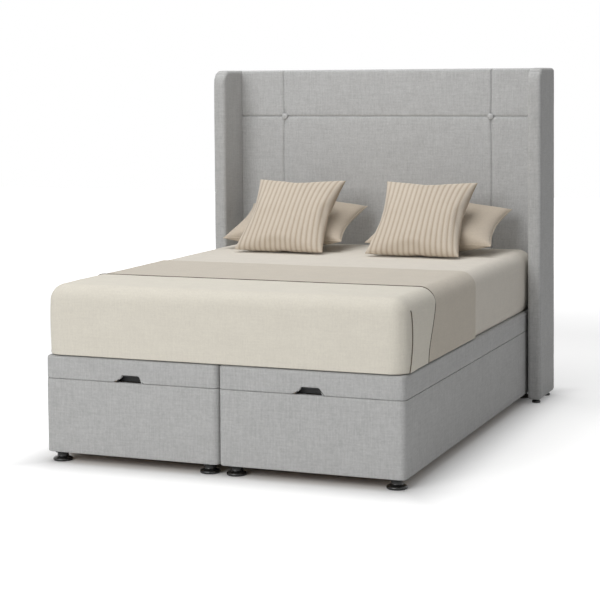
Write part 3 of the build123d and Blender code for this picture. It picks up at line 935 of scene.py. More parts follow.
@dataclass
class Headboard:
    """Padded face with seams and two buttons, side wings and a cloth back."""

    inner: float = 0.762
    thickness: float = 0.064
    low: float = 0.345
    top: float = 1.56
    front: float = 2.015
    back: float = 2.085
    roll: float = 0.011
    seam_x: float = 0.53
    seam_z: float = 1.33
    bow: float = 0.006
    seam_depth: float = 0.0085
    seam_width: float = 0.0034
    dent_depth: float = 0.0022
    dent_width: float = 0.022
    tuft_depth: float = 0.005
    tuft_width: float = 0.021
    tuft_folds: float = 8.0
    cell: float = 0.017
    fine_cell: float = 0.0022
    wing_front: float = 1.8
    wing_low: float = 0.018
    wing_round: float = 0.016
    wing_corner: float = 0.062
    foot_inset: float = 0.045
    button_profile: Sequence[Pair] = (
        (0.0148, 0.0055), (0.0152, 0.0015), (0.0150, -0.0012), (0.0138, -0.0034),
        (0.0115, -0.0050), (0.0078, -0.0061), (0.0038, -0.0066), (0.0006, -0.0067),
    )
    foot_profile: Sequence[Pair] = (
        (0.0185, 0.0), (0.02, 0.002), (0.02, 0.0085), (0.018, 0.0105), (0.015, 0.0115), (0.015, 0.0175),
    )

    def build(self) -> None:
        """Makes the face, buttons, wings, back and small feet."""
        self.face()
        self.buttons()
        for side, name in ((-1, "left"), (1, "right")):
            self.wing(side, name)
        self.back_cloth()
        self.feet()

    def seam_line(self, side: int, z: float) -> float:
        """X of an upright seam, which bows outwards away from its button."""
        away = abs(z - self.seam_z)
        return side * (self.seam_x + self.bow * (1.0 - math.exp(-away / 0.05)))

    def depth(self, x: float, z: float) -> float:
        """How far the face lies behind its front plane at a place.

        Args:
            x: X of the place.
            z: Its height.

        Returns:
            Depth in metres.
        """
        gaps = [abs(z - self.seam_z)] + [abs(x - self.seam_line(side, z)) for side in (-1, 1)]
        deep = 0.0
        for gap in gaps:
            seam = self.seam_depth * math.exp(-((gap / self.seam_width) ** 1.5))
            deep = max(deep, seam + self.dent_depth * math.exp(-gap / self.dent_width))
        for side in (-1, 1):
            across, up = x - side * self.seam_x, z - self.seam_z
            away = math.hypot(across, up)
            folds = 0.5 + 0.5 * math.cos(self.tuft_folds * math.atan2(up, across))
            tuft = self.tuft_depth * math.exp(-((away / self.tuft_width) ** 2))
            deep += tuft + self.dent_depth * folds * math.exp(-away / self.dent_width)
        return deep + 0.0009 * ripple((x, 0.0, z), 0.19, 4.0) - 0.0012

    def section(self) -> list[Point]:
        """Section of the face, from its lower tuck over the top edge to the back of the board.

        Returns:
            Points as (Y from the foot, height, share of the relief).
        """
        near = [(self.seam_z, 0.032, self.fine_cell)]
        heights = stops(self.low + 0.008, self.top - self.roll, self.cell, near)
        tuck = ((0.043, 0.001, 0.0), (0.008, 0.0, 0.0), (0.002, 0.0025, 0.5))
        line = [(self.front + back, self.low + rise, share) for back, rise, share in tuck]
        line += [(self.front, z, 1.0) for z in heights]
        for step in range(1, 6):
            turn = math.pi / 2 * step / 5
            back, fall = self.roll * (1 - math.cos(turn)), self.roll * (1 - math.sin(turn))
            line.append((self.front + back, self.top - fall, 1.0 - step / 5 * 0.6))
        over = self.back - 0.006 - self.front
        line += [(self.front + share * over, self.top, 0.3) for share in (0.35, 0.6, 0.85)]
        line += [(self.back - 0.0045, self.top - 0.001, 0.1), (self.back - 0.004, self.top - 0.013, 0.0)]
        return line

    def face(self) -> None:
        """Face panel that rolls over the top edge and ends behind the board."""
        near_x = [(side * (self.seam_x + self.bow / 2), 0.035, self.fine_cell) for side in (-1, 1)]
        xs = stops(-self.inner, self.inner, self.cell, near_x)
        line, points = self.section(), []
        for y, z, share in line:
            over = z > self.top - self.roll - TINY and y > self.front + self.roll / 2
            for x in xs:
                dip = self.depth(x, z) * share
                points.append((x, row(y), z - max(dip, 0.0)) if over else (x, row(y + dip), z))
        # The face's lighter linen is painted light.
        made = piece("headboard_face_cloth", points, grid_faces(len(xs), len(line)), Finish.LINEN_FACE)
        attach(made, "base")
        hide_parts("headboard_face")

    def buttons(self) -> None:
        """Two domed buttons with a rolled rim."""
        points, faces = [], []
        for side in (-1, 1):
            base, sides = len(points), 32
            for radius, deep in self.button_profile:
                for step in range(sides):
                    turn = math.tau * step / sides
                    x = side * self.seam_x + radius * math.cos(turn)
                    points.append((x, row(self.front + deep), self.seam_z + radius * math.sin(turn)))
            faces += [tuple(base + v for v in face) for face in ring_faces(sides, len(self.button_profile))]
            last = base + (len(self.button_profile) - 1) * sides
            faces.append(tuple(range(last, last + sides)))
        # The buttons share the face's painted light.
        made = piece("headboard_button_caps", points, faces, Finish.LINEN_FACE)
        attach(made, "base")
        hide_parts("headboard_buttons")

    def wing(self, side: int, name: str) -> None:
        """Padded wing with rounded edges and a large round at its upper front corner.

        Args:
            side: -1 for the left one, 1 for the right one.
            name: Its name, left or right.
        """
        x = sorted((side * self.inner, side * (self.inner + self.thickness)))
        low, high = (x[0], row(self.wing_front), self.wing_low), (x[1], row(self.back), self.top)
        points, faces = RoundedBlock(low, high, self.wing_round, 0.03).build()
        points = [self.wing_point(point) for point in points]
        made = piece(f"wing_upholstery_{name}", points, faces, Finish.LINEN)
        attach(made, "base")
        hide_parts(f"wing_cover_{name}")

    def wing_point(self, point: Point) -> Point:
        """Wing point drawn into the rounded corner and rippled.

        Args:
            point: Point of the plain wing.

        Returns:
            The moved point.
        """
        x, y, z = point
        reach = self.wing_corner
        a = (row(self.wing_front) + reach - y) / reach
        b = (z - (self.top - reach)) / reach
        if a > 0 and b > 0:
            span = math.hypot(a, b)
            share = max(a, b) / span
            y = row(self.wing_front) + reach - a * share * reach
            z = self.top - reach + b * share * reach
        middle = math.copysign(self.inner + self.thickness / 2, x)
        sway = 0.0008 * ripple((x, y, z), 0.17, 2.0)
        return (middle + (x - middle) * (1.0 + sway / self.thickness * 2 - 0.015), y, z)

    def back_cloth(self) -> None:
        """Black cloth on the back of the board."""
        xs, zs = stops(-self.inner, self.inner, 0.05), stops(0.04, self.top - 0.015, 0.05)
        points = [(x, row(self.back - 0.0042 + 0.0006 * ripple((x, 1.0, z), 0.2)), z) for z in zs for x in xs]
        faces = [tuple(reversed(face)) for face in grid_faces(len(xs), len(zs))]
        made = piece("back_cloth_panel", points, faces, Finish.BACKING)
        thicken(made, 0.001)
        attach(made, "base")
        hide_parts("headboard_back")

    def feet(self) -> None:
        """Four small discs under the wings."""
        points, faces = [], []
        for side in (-1, 1):
            middle = side * (self.inner + self.thickness / 2)
            for y in (self.wing_front + self.foot_inset, self.back - self.foot_inset):
                more, extra = lathe(self.foot_profile, (middle, row(y)), 32, len(points))
                points, faces = points + more, faces + extra
        made = piece("wing_feet", points, faces, Finish.GLOSS_BLACK)
        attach(made, "base")
        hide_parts("wing_glides")


# Bedding


@dataclass
class MattressForm:
    """Outer form of the mattress, which the cloths on it follow."""

    half: float = 0.745
    foot: float = 0.008
    head: float = 1.993
    low: float = 0.426
    top: float = 0.706
    radius: float = 0.060
    bulge: float = 0.0035
    wave: float = 0.0012
    settle: float = 0.0016

    def swell(self, height: float) -> float:
        """Outward bulge of the sides at a share of the height."""
        return self.bulge * math.sin(math.pi * min(1.0, max(0.0, height)))

    def waves(self, point: Point) -> float:
        """Gentle rise and fall of the top at a place."""
        return self.wave * ripple(point, 0.2, 1.0)

    def soften(self, point: Point) -> Point:
        """Settles a point of the plain form: a slight crown and gentle waves.

        Args:
            point: Point of the plain form.

        Returns:
            The settled point.
        """
        x, y, z = point
        height = (z - self.low) / (self.top - self.low)
        across, along = x / self.half, (y - row(self.foot)) / (self.head - self.foot) * 2 - 1
        bulge = self.swell(height)
        x += across * bulge * ease((abs(across) - 0.9) / 0.1)
        y += along * 0.5 * bulge * ease((abs(along) - 0.93) / 0.07)
        if height > 0.6:
            share = ease((height - 0.6) / 0.4)
            z += self.waves(point) * share - self.settle * share
        return (x, y, z)


@dataclass
class Bedding:
    """Mattress in its sheet, with a coverlet over the foot and a throw behind it."""

    form: MattressForm = field(default_factory=MattressForm)
    coverlet_reach: float = 0.385
    coverlet_low: float = 0.292
    throw_reach: float = 0.955
    coverlet_thick: float = 0.004
    throw_thick: float = 0.0035
    hem: float = 0.004
    squareness: float = 0.68
    cell: float = 0.022
    depth: float = 0.003
    slack: float = 0.0009
    coverlet_seed: float = 3.0
    throw_seed: float = 9.0
    fold_foot: float = 0.050
    fold_bow: float = 0.026
    fold_step: float = 0.0034
    fold_top: float = 0.035
    # Radii of the dark tubes at the head edge and the corner folds, whose colour is painted shadow.
    piping: float = 0.0021
    fold_shadow_radius: float = 0.0019

    def build(self) -> None:
        """Makes the mattress and both cloths."""
        self.mattress()
        self.coverlet()
        self.throw()

    def mattress(self) -> None:
        """Mattress with rounded edges."""
        f = self.form
        block = RoundedBlock((-f.half, row(f.foot), f.low), (f.half, row(f.head), f.top), f.radius, 0.035, 6)
        points, faces = block.build()
        made = piece("mattress_sheet", [self.settled(point) for point in points], faces, Finish.SHEET)
        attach(made, "lid")
        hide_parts("mattress")

    def settled(self, point: Point) -> Point:
        """Mattress point, with the lower edge squarer than the upper.

        Args:
            point: Point of the plain form.

        Returns:
            The settled point.
        """
        x, y, z = point
        f = self.form
        if z < f.low + f.radius:
            share = (f.low + f.radius - z) / f.radius
            grow = self.squareness * (1.0 - math.sqrt(max(0.0, 1.0 - share * share))) * f.radius
            if abs(x) > f.half - f.radius:
                x += math.copysign(min(grow, f.half - abs(x)), x)
            middle, reach = row((f.foot + f.head) / 2), (f.head - f.foot) / 2
            if abs(y - middle) > reach - f.radius:
                y += math.copysign(min(grow, reach - abs(y - middle)), y - middle)
        return f.soften((x, y, z))

    def coverlet_head(self, z: float) -> float:
        """Y from the foot of the coverlet's head edge, which runs to the foot down the sides.

        Args:
            z: Height.

        Returns:
            Y from the foot face.
        """
        f = self.form
        share = ease((f.top - 0.02 - z) / (f.top - f.low - 0.04))
        return self.coverlet_reach + (self.coverlet_low - self.coverlet_reach) * share

    def throw_foot(self, z: float) -> float:
        """Y from the foot of the throw's foot edge at a height."""
        return self.coverlet_head(z) + 0.001

    def throw_head(self, z: float) -> float:
        """Y from the foot of the throw's head edge at a height, which wanders a little."""
        return self.throw_reach + 0.006 * math.sin(z * 20.0)

    def shell(self, lift: float, head: Edge, foot: Optional[Edge]) -> Shape:
        """Cloth that follows the mattress between two cross edges.

        Args:
            lift: Height of the cloth over the mattress.
            head: Y from the foot of the head edge at a height.
            foot: The same for the foot edge, or None where the cloth covers the foot.

        Returns:
            Points and faces.
        """
        f = self.form
        low = (-f.half - lift, row(f.foot) - lift, f.low - f.radius)
        high = (f.half + lift, row(f.head), f.top + lift)
        skip = frozenset({"-z", "+y"} if foot is None else {"-z", "+y", "-y"})
        points, faces = RoundedBlock(low, high, f.radius + lift, self.cell, 6, skip).build()
        start, finish = row(f.foot) + f.radius, row(f.head) - f.radius
        moved = []
        for x, y, z in points:
            z = max(z, f.low + self.hem)
            if foot is None:
                y = y if y < start else start + (y - start) * (row(head(z)) - start) / (finish - start)
            else:
                y = row(foot(z)) + (y - start) * (row(head(z)) - row(foot(z))) / (finish - start)
            moved.append((x, y, z))
        within = [(foot is None or start - TINY <= y) and y <= finish + TINY for _, y, _ in points]
        above = [z >= f.low - TINY for _, _, z in points]
        kept = [face for face in faces if all(within[v] for v in face) and any(above[v] for v in face)]
        used = sorted({v for face in kept for v in face})
        renumber = {v: n for n, v in enumerate(used)}
        return [moved[v] for v in used], [tuple(renumber[v] for v in face) for face in kept]

    def draped(self, point: Point, seed: float) -> Point:
        """Cloth point with the mattress's settling and its own slack.

        Args:
            point: Point of the cloth.
            seed: Shift that gives another pattern.

        Returns:
            The draped point.
        """
        f = self.form
        x, y, z = f.soften(point)
        slack = self.slack * ripple(point, 0.09, seed) + self.slack
        if abs(x) > f.half - 0.01:
            x += math.copysign(slack, x)
        if y < row(f.foot) + 0.01:
            y -= slack
        if z > f.top - 0.02:
            z += slack
        return (x, y, z)

    def coverlet(self) -> None:
        """Fitted coverlet with a folded seam at each foot corner; dark tubes along its head edge and its
        folds are painted shadow.
        """
        points, faces = self.shell(self.coverlet_thick, self.coverlet_head, None)
        points = [self.folded(self.draped(point, self.coverlet_seed)) for point in points]
        made = piece("coverlet_cloth", points, faces, Finish.COVERLET)
        thicken(made, self.depth)
        smooth_over(made, 1)
        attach(made, "lid")
        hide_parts("coverlet")
        shadow_tubes = [self.hem_edge_shadow()]
        shadow_tubes += [self.corner_fold_shadow(side, name) for side, name in ((-1, "left"), (1, "right"))]
        for pipe in shadow_tubes:
            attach(pipe, "lid")

    def fold_line(self, z: float) -> float:
        """Y from the foot of the corner fold at a height: it leans to the foot at both ends.

        Args:
            z: Height.

        Returns:
            Y from the foot face.
        """
        f = self.form
        share = (z - f.low) / (f.top - f.low)
        bow = math.sin(math.pi * min(1.0, max(0.0, share * 0.92 + 0.04)))
        return self.fold_foot + self.fold_bow * bow

    def folded(self, point: Point) -> Point:
        """Raises the cloth behind the corner fold, as a folded layer on top.

        Args:
            point: Point of the cloth.

        Returns:
            The raised point.
        """
        x, y, z = point
        f = self.form
        if abs(x) < f.half - 0.03 or z > f.top - self.fold_top:
            return point
        past = y - row(self.fold_line(z))
        step = self.fold_step * ease((past + 0.004) / 0.008) * (1.0 - ease((past - 0.02) / 0.10))
        step *= ease((f.top - self.fold_top - z) / 0.04)
        return (x + math.copysign(step, x), y, z)

    def corner_fold_shadow(self, side: int, name: str) -> bpy.types.Object:
        """Dark tube on the edge of one corner fold, whose colour is painted shadow of the fold.

        Args:
            side: -1 for the left one, 1 for the right one.
            name: Its name, left or right.

        Returns:
            The tube object.
        """
        f, path = self.form, []
        low, high = f.low + self.hem + 0.001, f.top - 0.045
        for step in range(25):
            z = low + (high - low) * step / 24
            y = self.fold_line(z)
            path.append((side * self.side_at(y, z, self.coverlet_thick + 0.0036), row(y), z))
        return tube(f"corner_piping_{name}", path, self.fold_shadow_radius, Finish.PIPING, False)

    def side_at(self, y: float, z: float, lift: float) -> float:
        """Half width of the mattress form grown by a lift.

        Args:
            y: Y from the foot face.
            z: Height.
            lift: How far the form is grown.

        Returns:
            Half width.
        """
        f = self.form
        radius = f.radius + lift
        ahead = max(0.0, f.foot + f.radius - y)
        above = max(0.0, z - (f.top - f.radius))
        away = math.hypot(ahead, above)
        reach = math.sqrt(max(0.0, radius * radius - away * away))
        height = (z - f.low) / (f.top - f.low)
        return f.half - f.radius + reach + f.swell(height)

    def hem_edge_shadow(self) -> bpy.types.Object:
        """Dark tube along the coverlet's head edge, up one side, over the top and down the other: a rolled
        hem whose colour is painted shadow.

        Returns:
            The piping object.
        """
        f = self.form
        lift = self.coverlet_thick + 0.0008
        low, bend = f.low + self.hem + 0.001, f.top - f.radius
        half: list[Point] = []
        for step in range(17):
            z = low + (bend - low) * step / 16
            half.append((self.side_at(1.0, z, lift), row(self.coverlet_head(z)), z))
        for step in range(1, 11):
            turn = math.pi / 2 * step / 10
            x = f.half - f.radius + (f.radius + lift) * math.cos(turn)
            z = bend + (f.radius + lift) * math.sin(turn)
            half.append((x, row(self.coverlet_head(z)), z - 0.0006 * step / 10))
        back, inner = row(self.coverlet_head(f.top)), []
        for step in range(1, 40):
            wave = f.waves((f.half * (1 - step / 20), back, f.top))
            z = f.top + lift - 0.0006 + wave - 0.0004
            inner.append(((f.half - f.radius) * (1 - 2 * step / 40), back, z))
        path = half + inner + [(-x, y, z) for x, y, z in reversed(half)]
        return tube("coverlet_hem_shadow", path, self.piping, Finish.PIPING, False)

    def throw(self) -> None:
        """Throw across the bed behind the coverlet."""
        points, faces = self.shell(self.throw_thick, self.throw_head, self.throw_foot)
        points = [self.draped(point, self.throw_seed) for point in points]
        made = piece("throw_cloth", points, faces, Finish.THROW)
        thicken(made, self.depth)
        smooth_over(made, 1)
        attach(made, "lid")
        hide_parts("throw")


@dataclass
class StuffedCase:
    """Two panels sewn round their edge and stuffed, made lying flat about its own middle."""

    width: float
    length: float
    thickness: float
    draw: float
    cells: int = 46
    pressure: float = 2.4
    frames: int = 22
    puff: float = 0.24
    crown: float = 0.55
    lower_draw: float = 0.3
    seam_share: float = 0.96

    def start(self) -> tuple[list[Point], list[Face], list[int]]:
        """Flat case before it is filled.

        Returns:
            Points, faces and the vertex numbers round the seam.
        """
        count = self.cells
        points: list[Point] = []
        numbers: dict[tuple[int, int, int], int] = {}
        for layer in (1, -1):
            for r in range(count + 1):
                for c in range(count + 1):
                    rim = r in (0, count) or c in (0, count)
                    if rim and layer < 0:
                        numbers[(layer, r, c)] = numbers[(1, r, c)]
                        continue
                    u, v = 2 * c / count - 1, 2 * r / count - 1
                    dome = math.sqrt((1 - u ** 4) * (1 - v ** 4))
                    rise = 0.0 if rim else layer * self.puff * self.thickness * dome
                    numbers[(layer, r, c)] = len(points)
                    points.append((u * self.width / 2, v * self.length / 2, rise))
        faces = []
        for layer in (1, -1):
            for r in range(count):
                for c in range(count):
                    face = [numbers[(layer, *at)] for at in ((r, c), (r, c + 1), (r + 1, c + 1), (r + 1, c))]
                    faces.append(tuple(face) if layer > 0 else tuple(reversed(face)))
        rim = [(0, c) for c in range(count)] + [(r, count) for r in range(count)]
        rim += [(count, c) for c in range(count, 0, -1)] + [(r, 0) for r in range(count, 0, -1)]
        return points, faces, [numbers[(1, *at)] for at in rim]

    def filled(self) -> tuple[list[Vector], list[Face], list[int]]:
        """Case after it is filled, scaled to its size.

        Returns:
            Points, faces and the vertex numbers round the seam.
        """
        points, faces, rim = self.start()
        found = self.by_cloth(points, faces)
        span = [max(abs(p[axis]) for p in found) for axis in range(3)]
        size = (self.width / 2, self.length / 2, self.thickness / 2)
        scaled = [Vector(p[axis] * size[axis] / span[axis] for axis in range(3)) for p in found]
        return self.rested(scaled, rim), faces, rim

    def rested(self, points: Sequence[Vector], rim: Sequence[int]) -> list[Vector]:
        """Lays the lower seam level, and bows the other three smoothly between the corners.

        Args:
            points: Points of the filled case.
            rim: Vertex numbers round the seam.

        Returns:
            Points of the case as it stands on its lower seam.
        """
        sizes = (self.width, self.length)
        found = [p.copy() for p in points]
        for number, (axis, side) in enumerate(((1, -1), (0, 1), (1, 1), (0, -1))):
            reach, half = sizes[axis] / 2, sizes[1 - axis] / 2
            part = rim[number * self.cells:(number + 1) * self.cells]
            seam = sorted((points[v][1 - axis], points[v][axis]) for v in part)
            seam = [at for at in seam if abs(at[0]) < self.seam_share * half]
            places, levels = [at[0] for at in seam], [at[1] for at in seam]
            draw = self.lower_draw * self.draw if number == 0 else self.draw
            for p, placed in zip(points, found):
                level = level_at(places, levels, p[1 - axis])
                bowed = side * (reach - draw * max(0.0, 1 - (p[1 - axis] / half) ** 2))
                placed[axis] += (bowed - level) * ease(p[axis] / level)
        return found

    def by_cloth(self, points: Sequence[Point], faces: Sequence[Face]) -> list[Vector]:
        """Form found by filling the case with a cloth simulation.

        Args:
            points: Points of the flat case.
            faces: Its faces.

        Returns:
            Points of the filled case.
        """
        made = piece("stuffing", points, faces, Finish.SHEET)
        scene = bpy.context.scene
        cloth = made.modifiers.new("cloth", "CLOTH")
        settings = cloth.settings
        settings.quality = 6
        settings.mass = 0.25
        settings.tension_stiffness = settings.compression_stiffness = 22.0
        settings.shear_stiffness = 8.0
        settings.bending_stiffness = 1.5
        settings.use_pressure = True
        settings.uniform_pressure_force = self.pressure
        settings.effector_weights.gravity = 0.0
        settings.air_damping = 3.0
        cloth.collision_settings.use_collision = False
        cloth.point_cache.frame_start, cloth.point_cache.frame_end = 1, self.frames
        relax = made.modifiers.new("relax", "SMOOTH")
        relax.factor, relax.iterations = 0.5, 16
        for step in range(1, self.frames + 1):
            scene.frame_set(step)
        settled = made.evaluated_get(bpy.context.evaluated_depsgraph_get()).data
        found = [vertex.co.copy() for vertex in settled.vertices]
        take_away(made)
        scene.frame_set(1)
        return found


@dataclass
class LyingPillow:
    """Plain pillow with a piped edge, propped behind the cushions."""

    case: StuffedCase
    span: float = 0.36
    foot: float = 1.54
    lean: float = 20.0

    def build(self, side: int, name: str) -> None:
        """Makes one pillow.

        Args:
            side: -1 for the left one, 1 for the right one.
            name: Its name, left or right.
        """
        points, faces, rim = self.case.filled()
        placed = leaning(points, self.case.length, side * self.span, self.foot, self.lean)
        made = piece(f"pillow_case_{name}", placed, faces, Finish.PILLOW)
        smooth_over(made, 1)
        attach(made, "lid")
        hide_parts(f"pillow_{name}")
        pipe = tube(f"pillow_piping_{name}", [placed[v] for v in rim], 0.0024, Finish.PILLOW, True)
        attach(pipe, "lid")


@dataclass
class LeaningCushion:
    """Square cushion with ribs sewn down its front."""

    case: StuffedCase
    span: float = 0.325
    foot: float = 1.41
    lean: float = 44.0
    ribs: int = 17
    rise: float = 0.003
    valley: float = 0.2

    def build(self, side: int, name: str) -> None:
        """Makes one cushion.

        Args:
            side: -1 for the left one, 1 for the right one.
            name: Its name, left or right.
        """
        points, faces, _ = self.case.filled()
        mesh_points, mesh_faces = self.divided(points, faces)
        grooves = [self.groove(p) for p in mesh_points]
        ribbed = [self.raised(p, g) for p, g in zip(mesh_points, grooves)]
        placed = leaning(ribbed, self.case.length, side * self.span, self.foot, self.lean)
        made = piece(f"cushion_case_{name}", placed, mesh_faces, Finish.CUSHION)
        # The groove share also drives the material's painted shade in the grooves.
        made.data.attributes.new("groove", "FLOAT", "POINT").data.foreach_set("value", grooves)
        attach(made, "lid")
        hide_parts(f"cushion_{name}")

    def divided(self, points: Sequence[Vector], faces: Sequence[Face]) -> tuple[list[Vector], list[Face]]:
        """Subdivides the filled case twice, so that it is fine enough for its ribs.

        Args:
            points: Points of the filled case.
            faces: Its faces.

        Returns:
            Points and faces of the finer mesh.
        """
        made = piece("ribs", points, faces, Finish.CUSHION)
        smooth_over(made, 2)
        fine = made.evaluated_get(bpy.context.evaluated_depsgraph_get()).to_mesh()
        fine_points = [vertex.co.copy() for vertex in fine.vertices]
        fine_faces = [tuple(face.vertices) for face in fine.polygons]
        take_away(made)
        return fine_points, fine_faces

    def groove(self, point: Vector) -> float:
        """How deep in a groove a point lies, from 0 on a rib to 1 between ribs.

        Args:
            point: Point of the smooth cushion.

        Returns:
            The share.
        """
        half = self.case.width / 2
        v = 2 * point.y / self.case.length
        reach = half - self.case.draw * max(0.0, 1 - v * v)
        phase = (point.x / reach + 1) / 2 * self.ribs
        valley = abs(phase - round(phase))
        return math.exp(-((valley / self.valley) ** 2))

    def raised(self, point: Vector, groove: float) -> Vector:
        """Lifts a point off its panel: furthest on a rib and in the bottom of a groove, least between them.

        Args:
            point: Point of the smooth cushion.
            groove: How deep in a groove it lies, from 0 to 1.

        Returns:
            The lifted point.
        """
        lift = self.rise * (0.5 - groove) * min(1.0, abs(point.z) / 0.01)
        return point + Vector((0.0, 0.0, math.copysign(lift, point.z)))


def leaning(points: Sequence[Vector], length: float, x: float, foot: float, lean: float) -> list[Vector]:
    """Rests a stuffed form on the mattress, leaning back from its lower edge.

    Args:
        points: Points of the form lying flat about its middle.
        length: Its length along Y.
        x: Place across the bed.
        foot: Y of its lower edge from the foot face.
        lean: Lean in degrees.

    Returns:
        Placed points.
    """
    turn = Matrix.Rotation(math.radians(lean), 3, "X")
    turned = [turn @ Vector(p) for p in points]
    lowest = min(p.z for p in turned)
    middle = row(foot + math.cos(math.radians(lean)) * length / 2)
    shift = Vector((x, middle, REST_HEIGHT - lowest))
    return [p + shift for p in turned]


# Frame parts that keep their CAD shape


class Carried(Enum):
    """CAD nodes that stay and their finishes."""

    CARCASS = (("base_carcass_left", "base_carcass_right"), Finish.BOARD)
    FLOORS = (("base_floor_left", "base_floor_right", "lid_deck_left", "lid_deck_right"), Finish.HARDBOARD)
    FRAMES = (("lid_frame_left", "lid_frame_right", "headboard_spacers"), Finish.SOFTWOOD)
    BOARDS = (("headboard_board", "wing_board_left", "wing_board_right"), Finish.BOARD)
    BOLTS = (("base_link_bolts", "lid_link_bolts", "headboard_bolts"), Finish.ZINC)
    CUPS = (("finger_cup_left", "finger_cup_right"), Finish.CUP_BLACK)

    def dress(self) -> None:
        """Gives the nodes their finish."""
        nodes, finish = self.value
        for node in nodes:
            dress_node(node, finish)


def dress_node(node: str, finish: Finish) -> None:
    """Puts a finish on a CAD node.

    Args:
        node: Name of the node.
        finish: Its finish.
    """
    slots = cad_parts[node].data.materials
    slots.clear()
    slots.append(finish.material())


@dataclass
class LiftMechanism:
    """Four sets of plates, arms and gas struts."""

    stations: Sequence[str] = ("left_outer", "left_inner", "right_inner", "right_outer")

    def dress(self) -> None:
        """Plates and arms are plated, tubes painted, rods chromed."""
        finishes = dict.fromkeys(("hinge_plate", "lid_bracket", "short_arm", "long_arm"), Finish.ZINC)
        finishes.update({"strut_tube": Finish.STRUT_BLACK, "strut_rod": Finish.CHROME})
        for station in self.stations:
            for part, finish in finishes.items():
                dress_node(f"{station}_{part}", finish)


# Studio


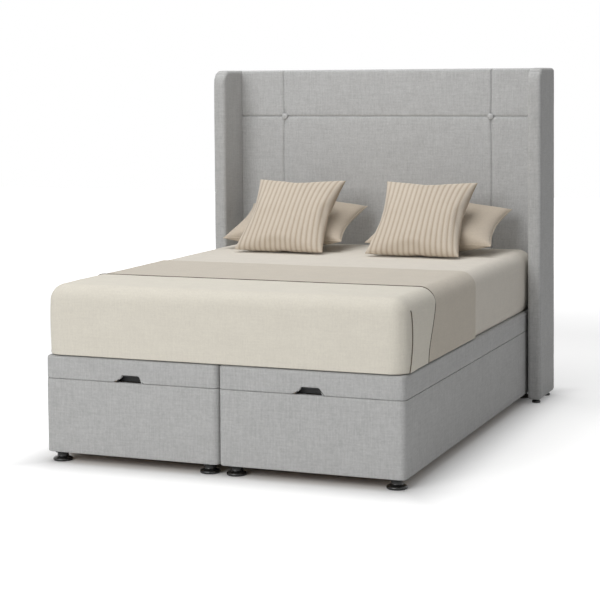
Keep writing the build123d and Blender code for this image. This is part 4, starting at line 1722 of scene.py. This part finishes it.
@dataclass
class Studio:
    """Pale floor, white surround, soft lamps and the camera."""

    focal: float = 1685.4
    centre: Pair = (300.0, 163.3)
    eye: Point = (2.637, -5.818 - HALF_DEPTH, 1.511)
    yaw: float = 21.51
    pitch: float = 2.83
    roll: float = -0.4
    ambient: float = 0.22
    floor_near: float = 3.0
    floor_far: float = 6.5
    floor_glow: float = 0.46
    floor_half: float = 14.0
    sensor: float = 36.0
    picture: float = 600.0
    # Outline and fade of the painted shadow under the bed.
    shade_half: float = 0.75
    shade_from: float = -0.10
    shade_to: float = 0.22
    lamps: Sequence[tuple[str, Point, Point, float, float]] = (
        ("key", (-2.2, -8.6, 4.6), (0.0, 0.0, 0.6), 5.0, 410.0),
        ("top", (-0.6, 0.2, 5.2), (0.0, 0.1, 0.3), 4.0, 135.0),
        ("side", (5.5, -2.5, 1.0), (0.5, -0.4, 0.4), 3.0, 10.0),
    )

    def build(self) -> None:
        """Makes the whole set."""
        self.camera()
        self.surround()
        self.floor()
        for name, place, aim, size, power in self.lamps:
            self.lamp(name, place, aim, size, power)
        bpy.context.scene.view_settings.view_transform = "Standard"

    def camera(self) -> None:
        """Camera at the photograph's angle."""
        data = bpy.data.cameras.new("camera")
        made = bpy.data.objects.new("camera", data)
        bpy.context.scene.collection.objects.link(made)
        data.sensor_width = self.sensor
        data.lens = self.sensor * self.focal / self.picture
        data.shift_x = (self.picture / 2 - self.centre[0]) / self.picture
        data.shift_y = (self.centre[1] - self.picture / 2) / self.picture
        yaw, pitch = math.radians(self.yaw), math.radians(self.pitch)
        ahead = Vector((-math.sin(yaw) * math.cos(pitch), math.cos(yaw) * math.cos(pitch), -math.sin(pitch)))
        made.location = self.eye
        made.rotation_mode = "QUATERNION"
        turn = Quaternion((0.0, 0.0, 1.0), math.radians(self.roll))
        made.rotation_quaternion = ahead.to_track_quat("-Z", "Y") @ turn
        data.clip_end = 100.0
        bpy.context.scene.camera = made

    def seen(self, tree: Tree) -> bpy.types.NodeSocket:
        """1 for rays from the camera, mirrors and glass, 0 for light.

        Args:
            tree: Tree that the nodes go into.

        Returns:
            Output with the value.
        """
        path = tree.add("ShaderNodeLightPath")
        total = path.outputs["Is Camera Ray"]
        for name in ("Is Glossy Ray", "Is Transmission Ray"):
            total = tree.maths("MAXIMUM", total, path.outputs[name])
        return total

    def surround(self) -> None:
        """White surround that lights the bed less than it shows."""
        world = bpy.data.worlds.new("surround")
        bpy.context.scene.world = world
        world.use_nodes = True
        tree = Tree(world.node_tree)
        ground = world.node_tree.nodes["Background"]
        ground.inputs["Color"].default_value = (1.0, 1.0, 1.0, 1.0)
        inputs = {"Value": self.seen(tree), "To Min": self.ambient, "To Max": 1.0}
        tree.feed(ground.inputs["Strength"], tree.add("ShaderNodeMapRange", inputs).outputs["Result"])

    def outside_painted_shadow(self, tree: Tree, place: bpy.types.NodeSocket) -> bpy.types.NodeSocket:
        """0 on the floor under the bed, rising to 1 a little way outside its outline; where it is low the
        floor loses its glow, as painted shadow under the bed.

        Args:
            tree: Tree that the nodes go into.
            place: Output with the place on the floor.

        Returns:
            Output with the value.
        """
        apart = tree.add("ShaderNodeSeparateXYZ", {0: place})
        ways = []
        for axis, half in (("X", self.shade_half), ("Y", HALF_DEPTH)):
            ways.append(tree.maths("SUBTRACT", tree.maths("ABSOLUTE", apart.outputs[axis]), half))
        inputs = {"Value": tree.maths("MAXIMUM", *ways)}
        inputs.update({"From Min": self.shade_from, "From Max": self.shade_to})
        return tree.add("ShaderNodeMapRange", inputs, interpolation_type="SMOOTHSTEP").outputs["Result"]

    def floor(self) -> None:
        """Pale floor that keeps the bed's cast shadow, with painted shadow under the bed."""
        size = self.floor_half
        corners = [(-size, -size, 0.0), (size, -size, 0.0), (size, size, 0.0), (-size, size, 0.0)]
        mesh = bpy.data.meshes.new("floor")
        mesh.from_pydata(corners, [], [(0, 1, 2, 3)])
        made = bpy.data.objects.new("floor", mesh)
        bpy.context.scene.collection.objects.link(made)
        material = bpy.data.materials.new("floor_paint")
        material.use_nodes = True
        tree = Tree(material.node_tree)
        shader = material.node_tree.nodes["Principled BSDF"]
        shader.inputs["Base Color"].default_value = (0.80, 0.80, 0.80, 1.0)
        shader.inputs["Roughness"].default_value = 0.9
        place = tree.add("ShaderNodeTexCoord").outputs["Object"]
        reach = tree.add("ShaderNodeVectorMath", {0: place}, operation="LENGTH").outputs["Value"]
        inputs = {"Value": reach, "From Min": self.floor_near, "From Max": self.floor_far}
        inputs.update({"To Min": self.floor_glow, "To Max": 1.0})
        fade = tree.add("ShaderNodeMapRange", inputs).outputs["Result"]
        # The glow is taken away under the bed: painted shadow.
        shaded = tree.maths("MULTIPLY", fade, self.outside_painted_shadow(tree, place))
        weight = tree.maths("MULTIPLY", self.seen(tree), shaded)
        glow = tree.add("ShaderNodeEmission", {"Strength": weight})
        total = tree.add("ShaderNodeAddShader", {0: shader.outputs[0], 1: glow.outputs[0]})
        tree.feed(material.node_tree.nodes["Material Output"].inputs["Surface"], total.outputs[0])
        mesh.materials.append(material)

    def lamp(self, name: str, place: Point, aim: Point, size: float, power: float) -> None:
        """Square soft lamp.

        Args:
            name: Name of the lamp.
            place: Where it hangs.
            aim: Point that it faces.
            size: Side length.
            power: Power in watts.
        """
        data = bpy.data.lights.new(name, "AREA")
        data.shape = "SQUARE"
        data.size = size
        data.energy = power
        made = bpy.data.objects.new(name, data)
        bpy.context.scene.collection.objects.link(made)
        made.location = place
        made.rotation_mode = "QUATERNION"
        made.rotation_quaternion = (Vector(aim) - Vector(place)).to_track_quat("-Z", "Y")


def main() -> None:
    """Builds the bed and its studio."""
    logging.basicConfig(level=logging.INFO, format="%(name)s: %(message)s")
    Studio().build()
    base = DivanBase()
    base.build()
    LidPair(base).build()
    Headboard().build()
    for group in Carried:
        group.dress()
    LiftMechanism().dress()
    Bedding().build()
    for side, name in ((-1, "left"), (1, "right")):
        LyingPillow(StuffedCase(0.60, 0.40, 0.15, 0.03)).build(side, name)
        LeaningCushion(StuffedCase(0.444, 0.448, 0.13, 0.026)).build(side, name)


if __name__ == "__main__":
    main()
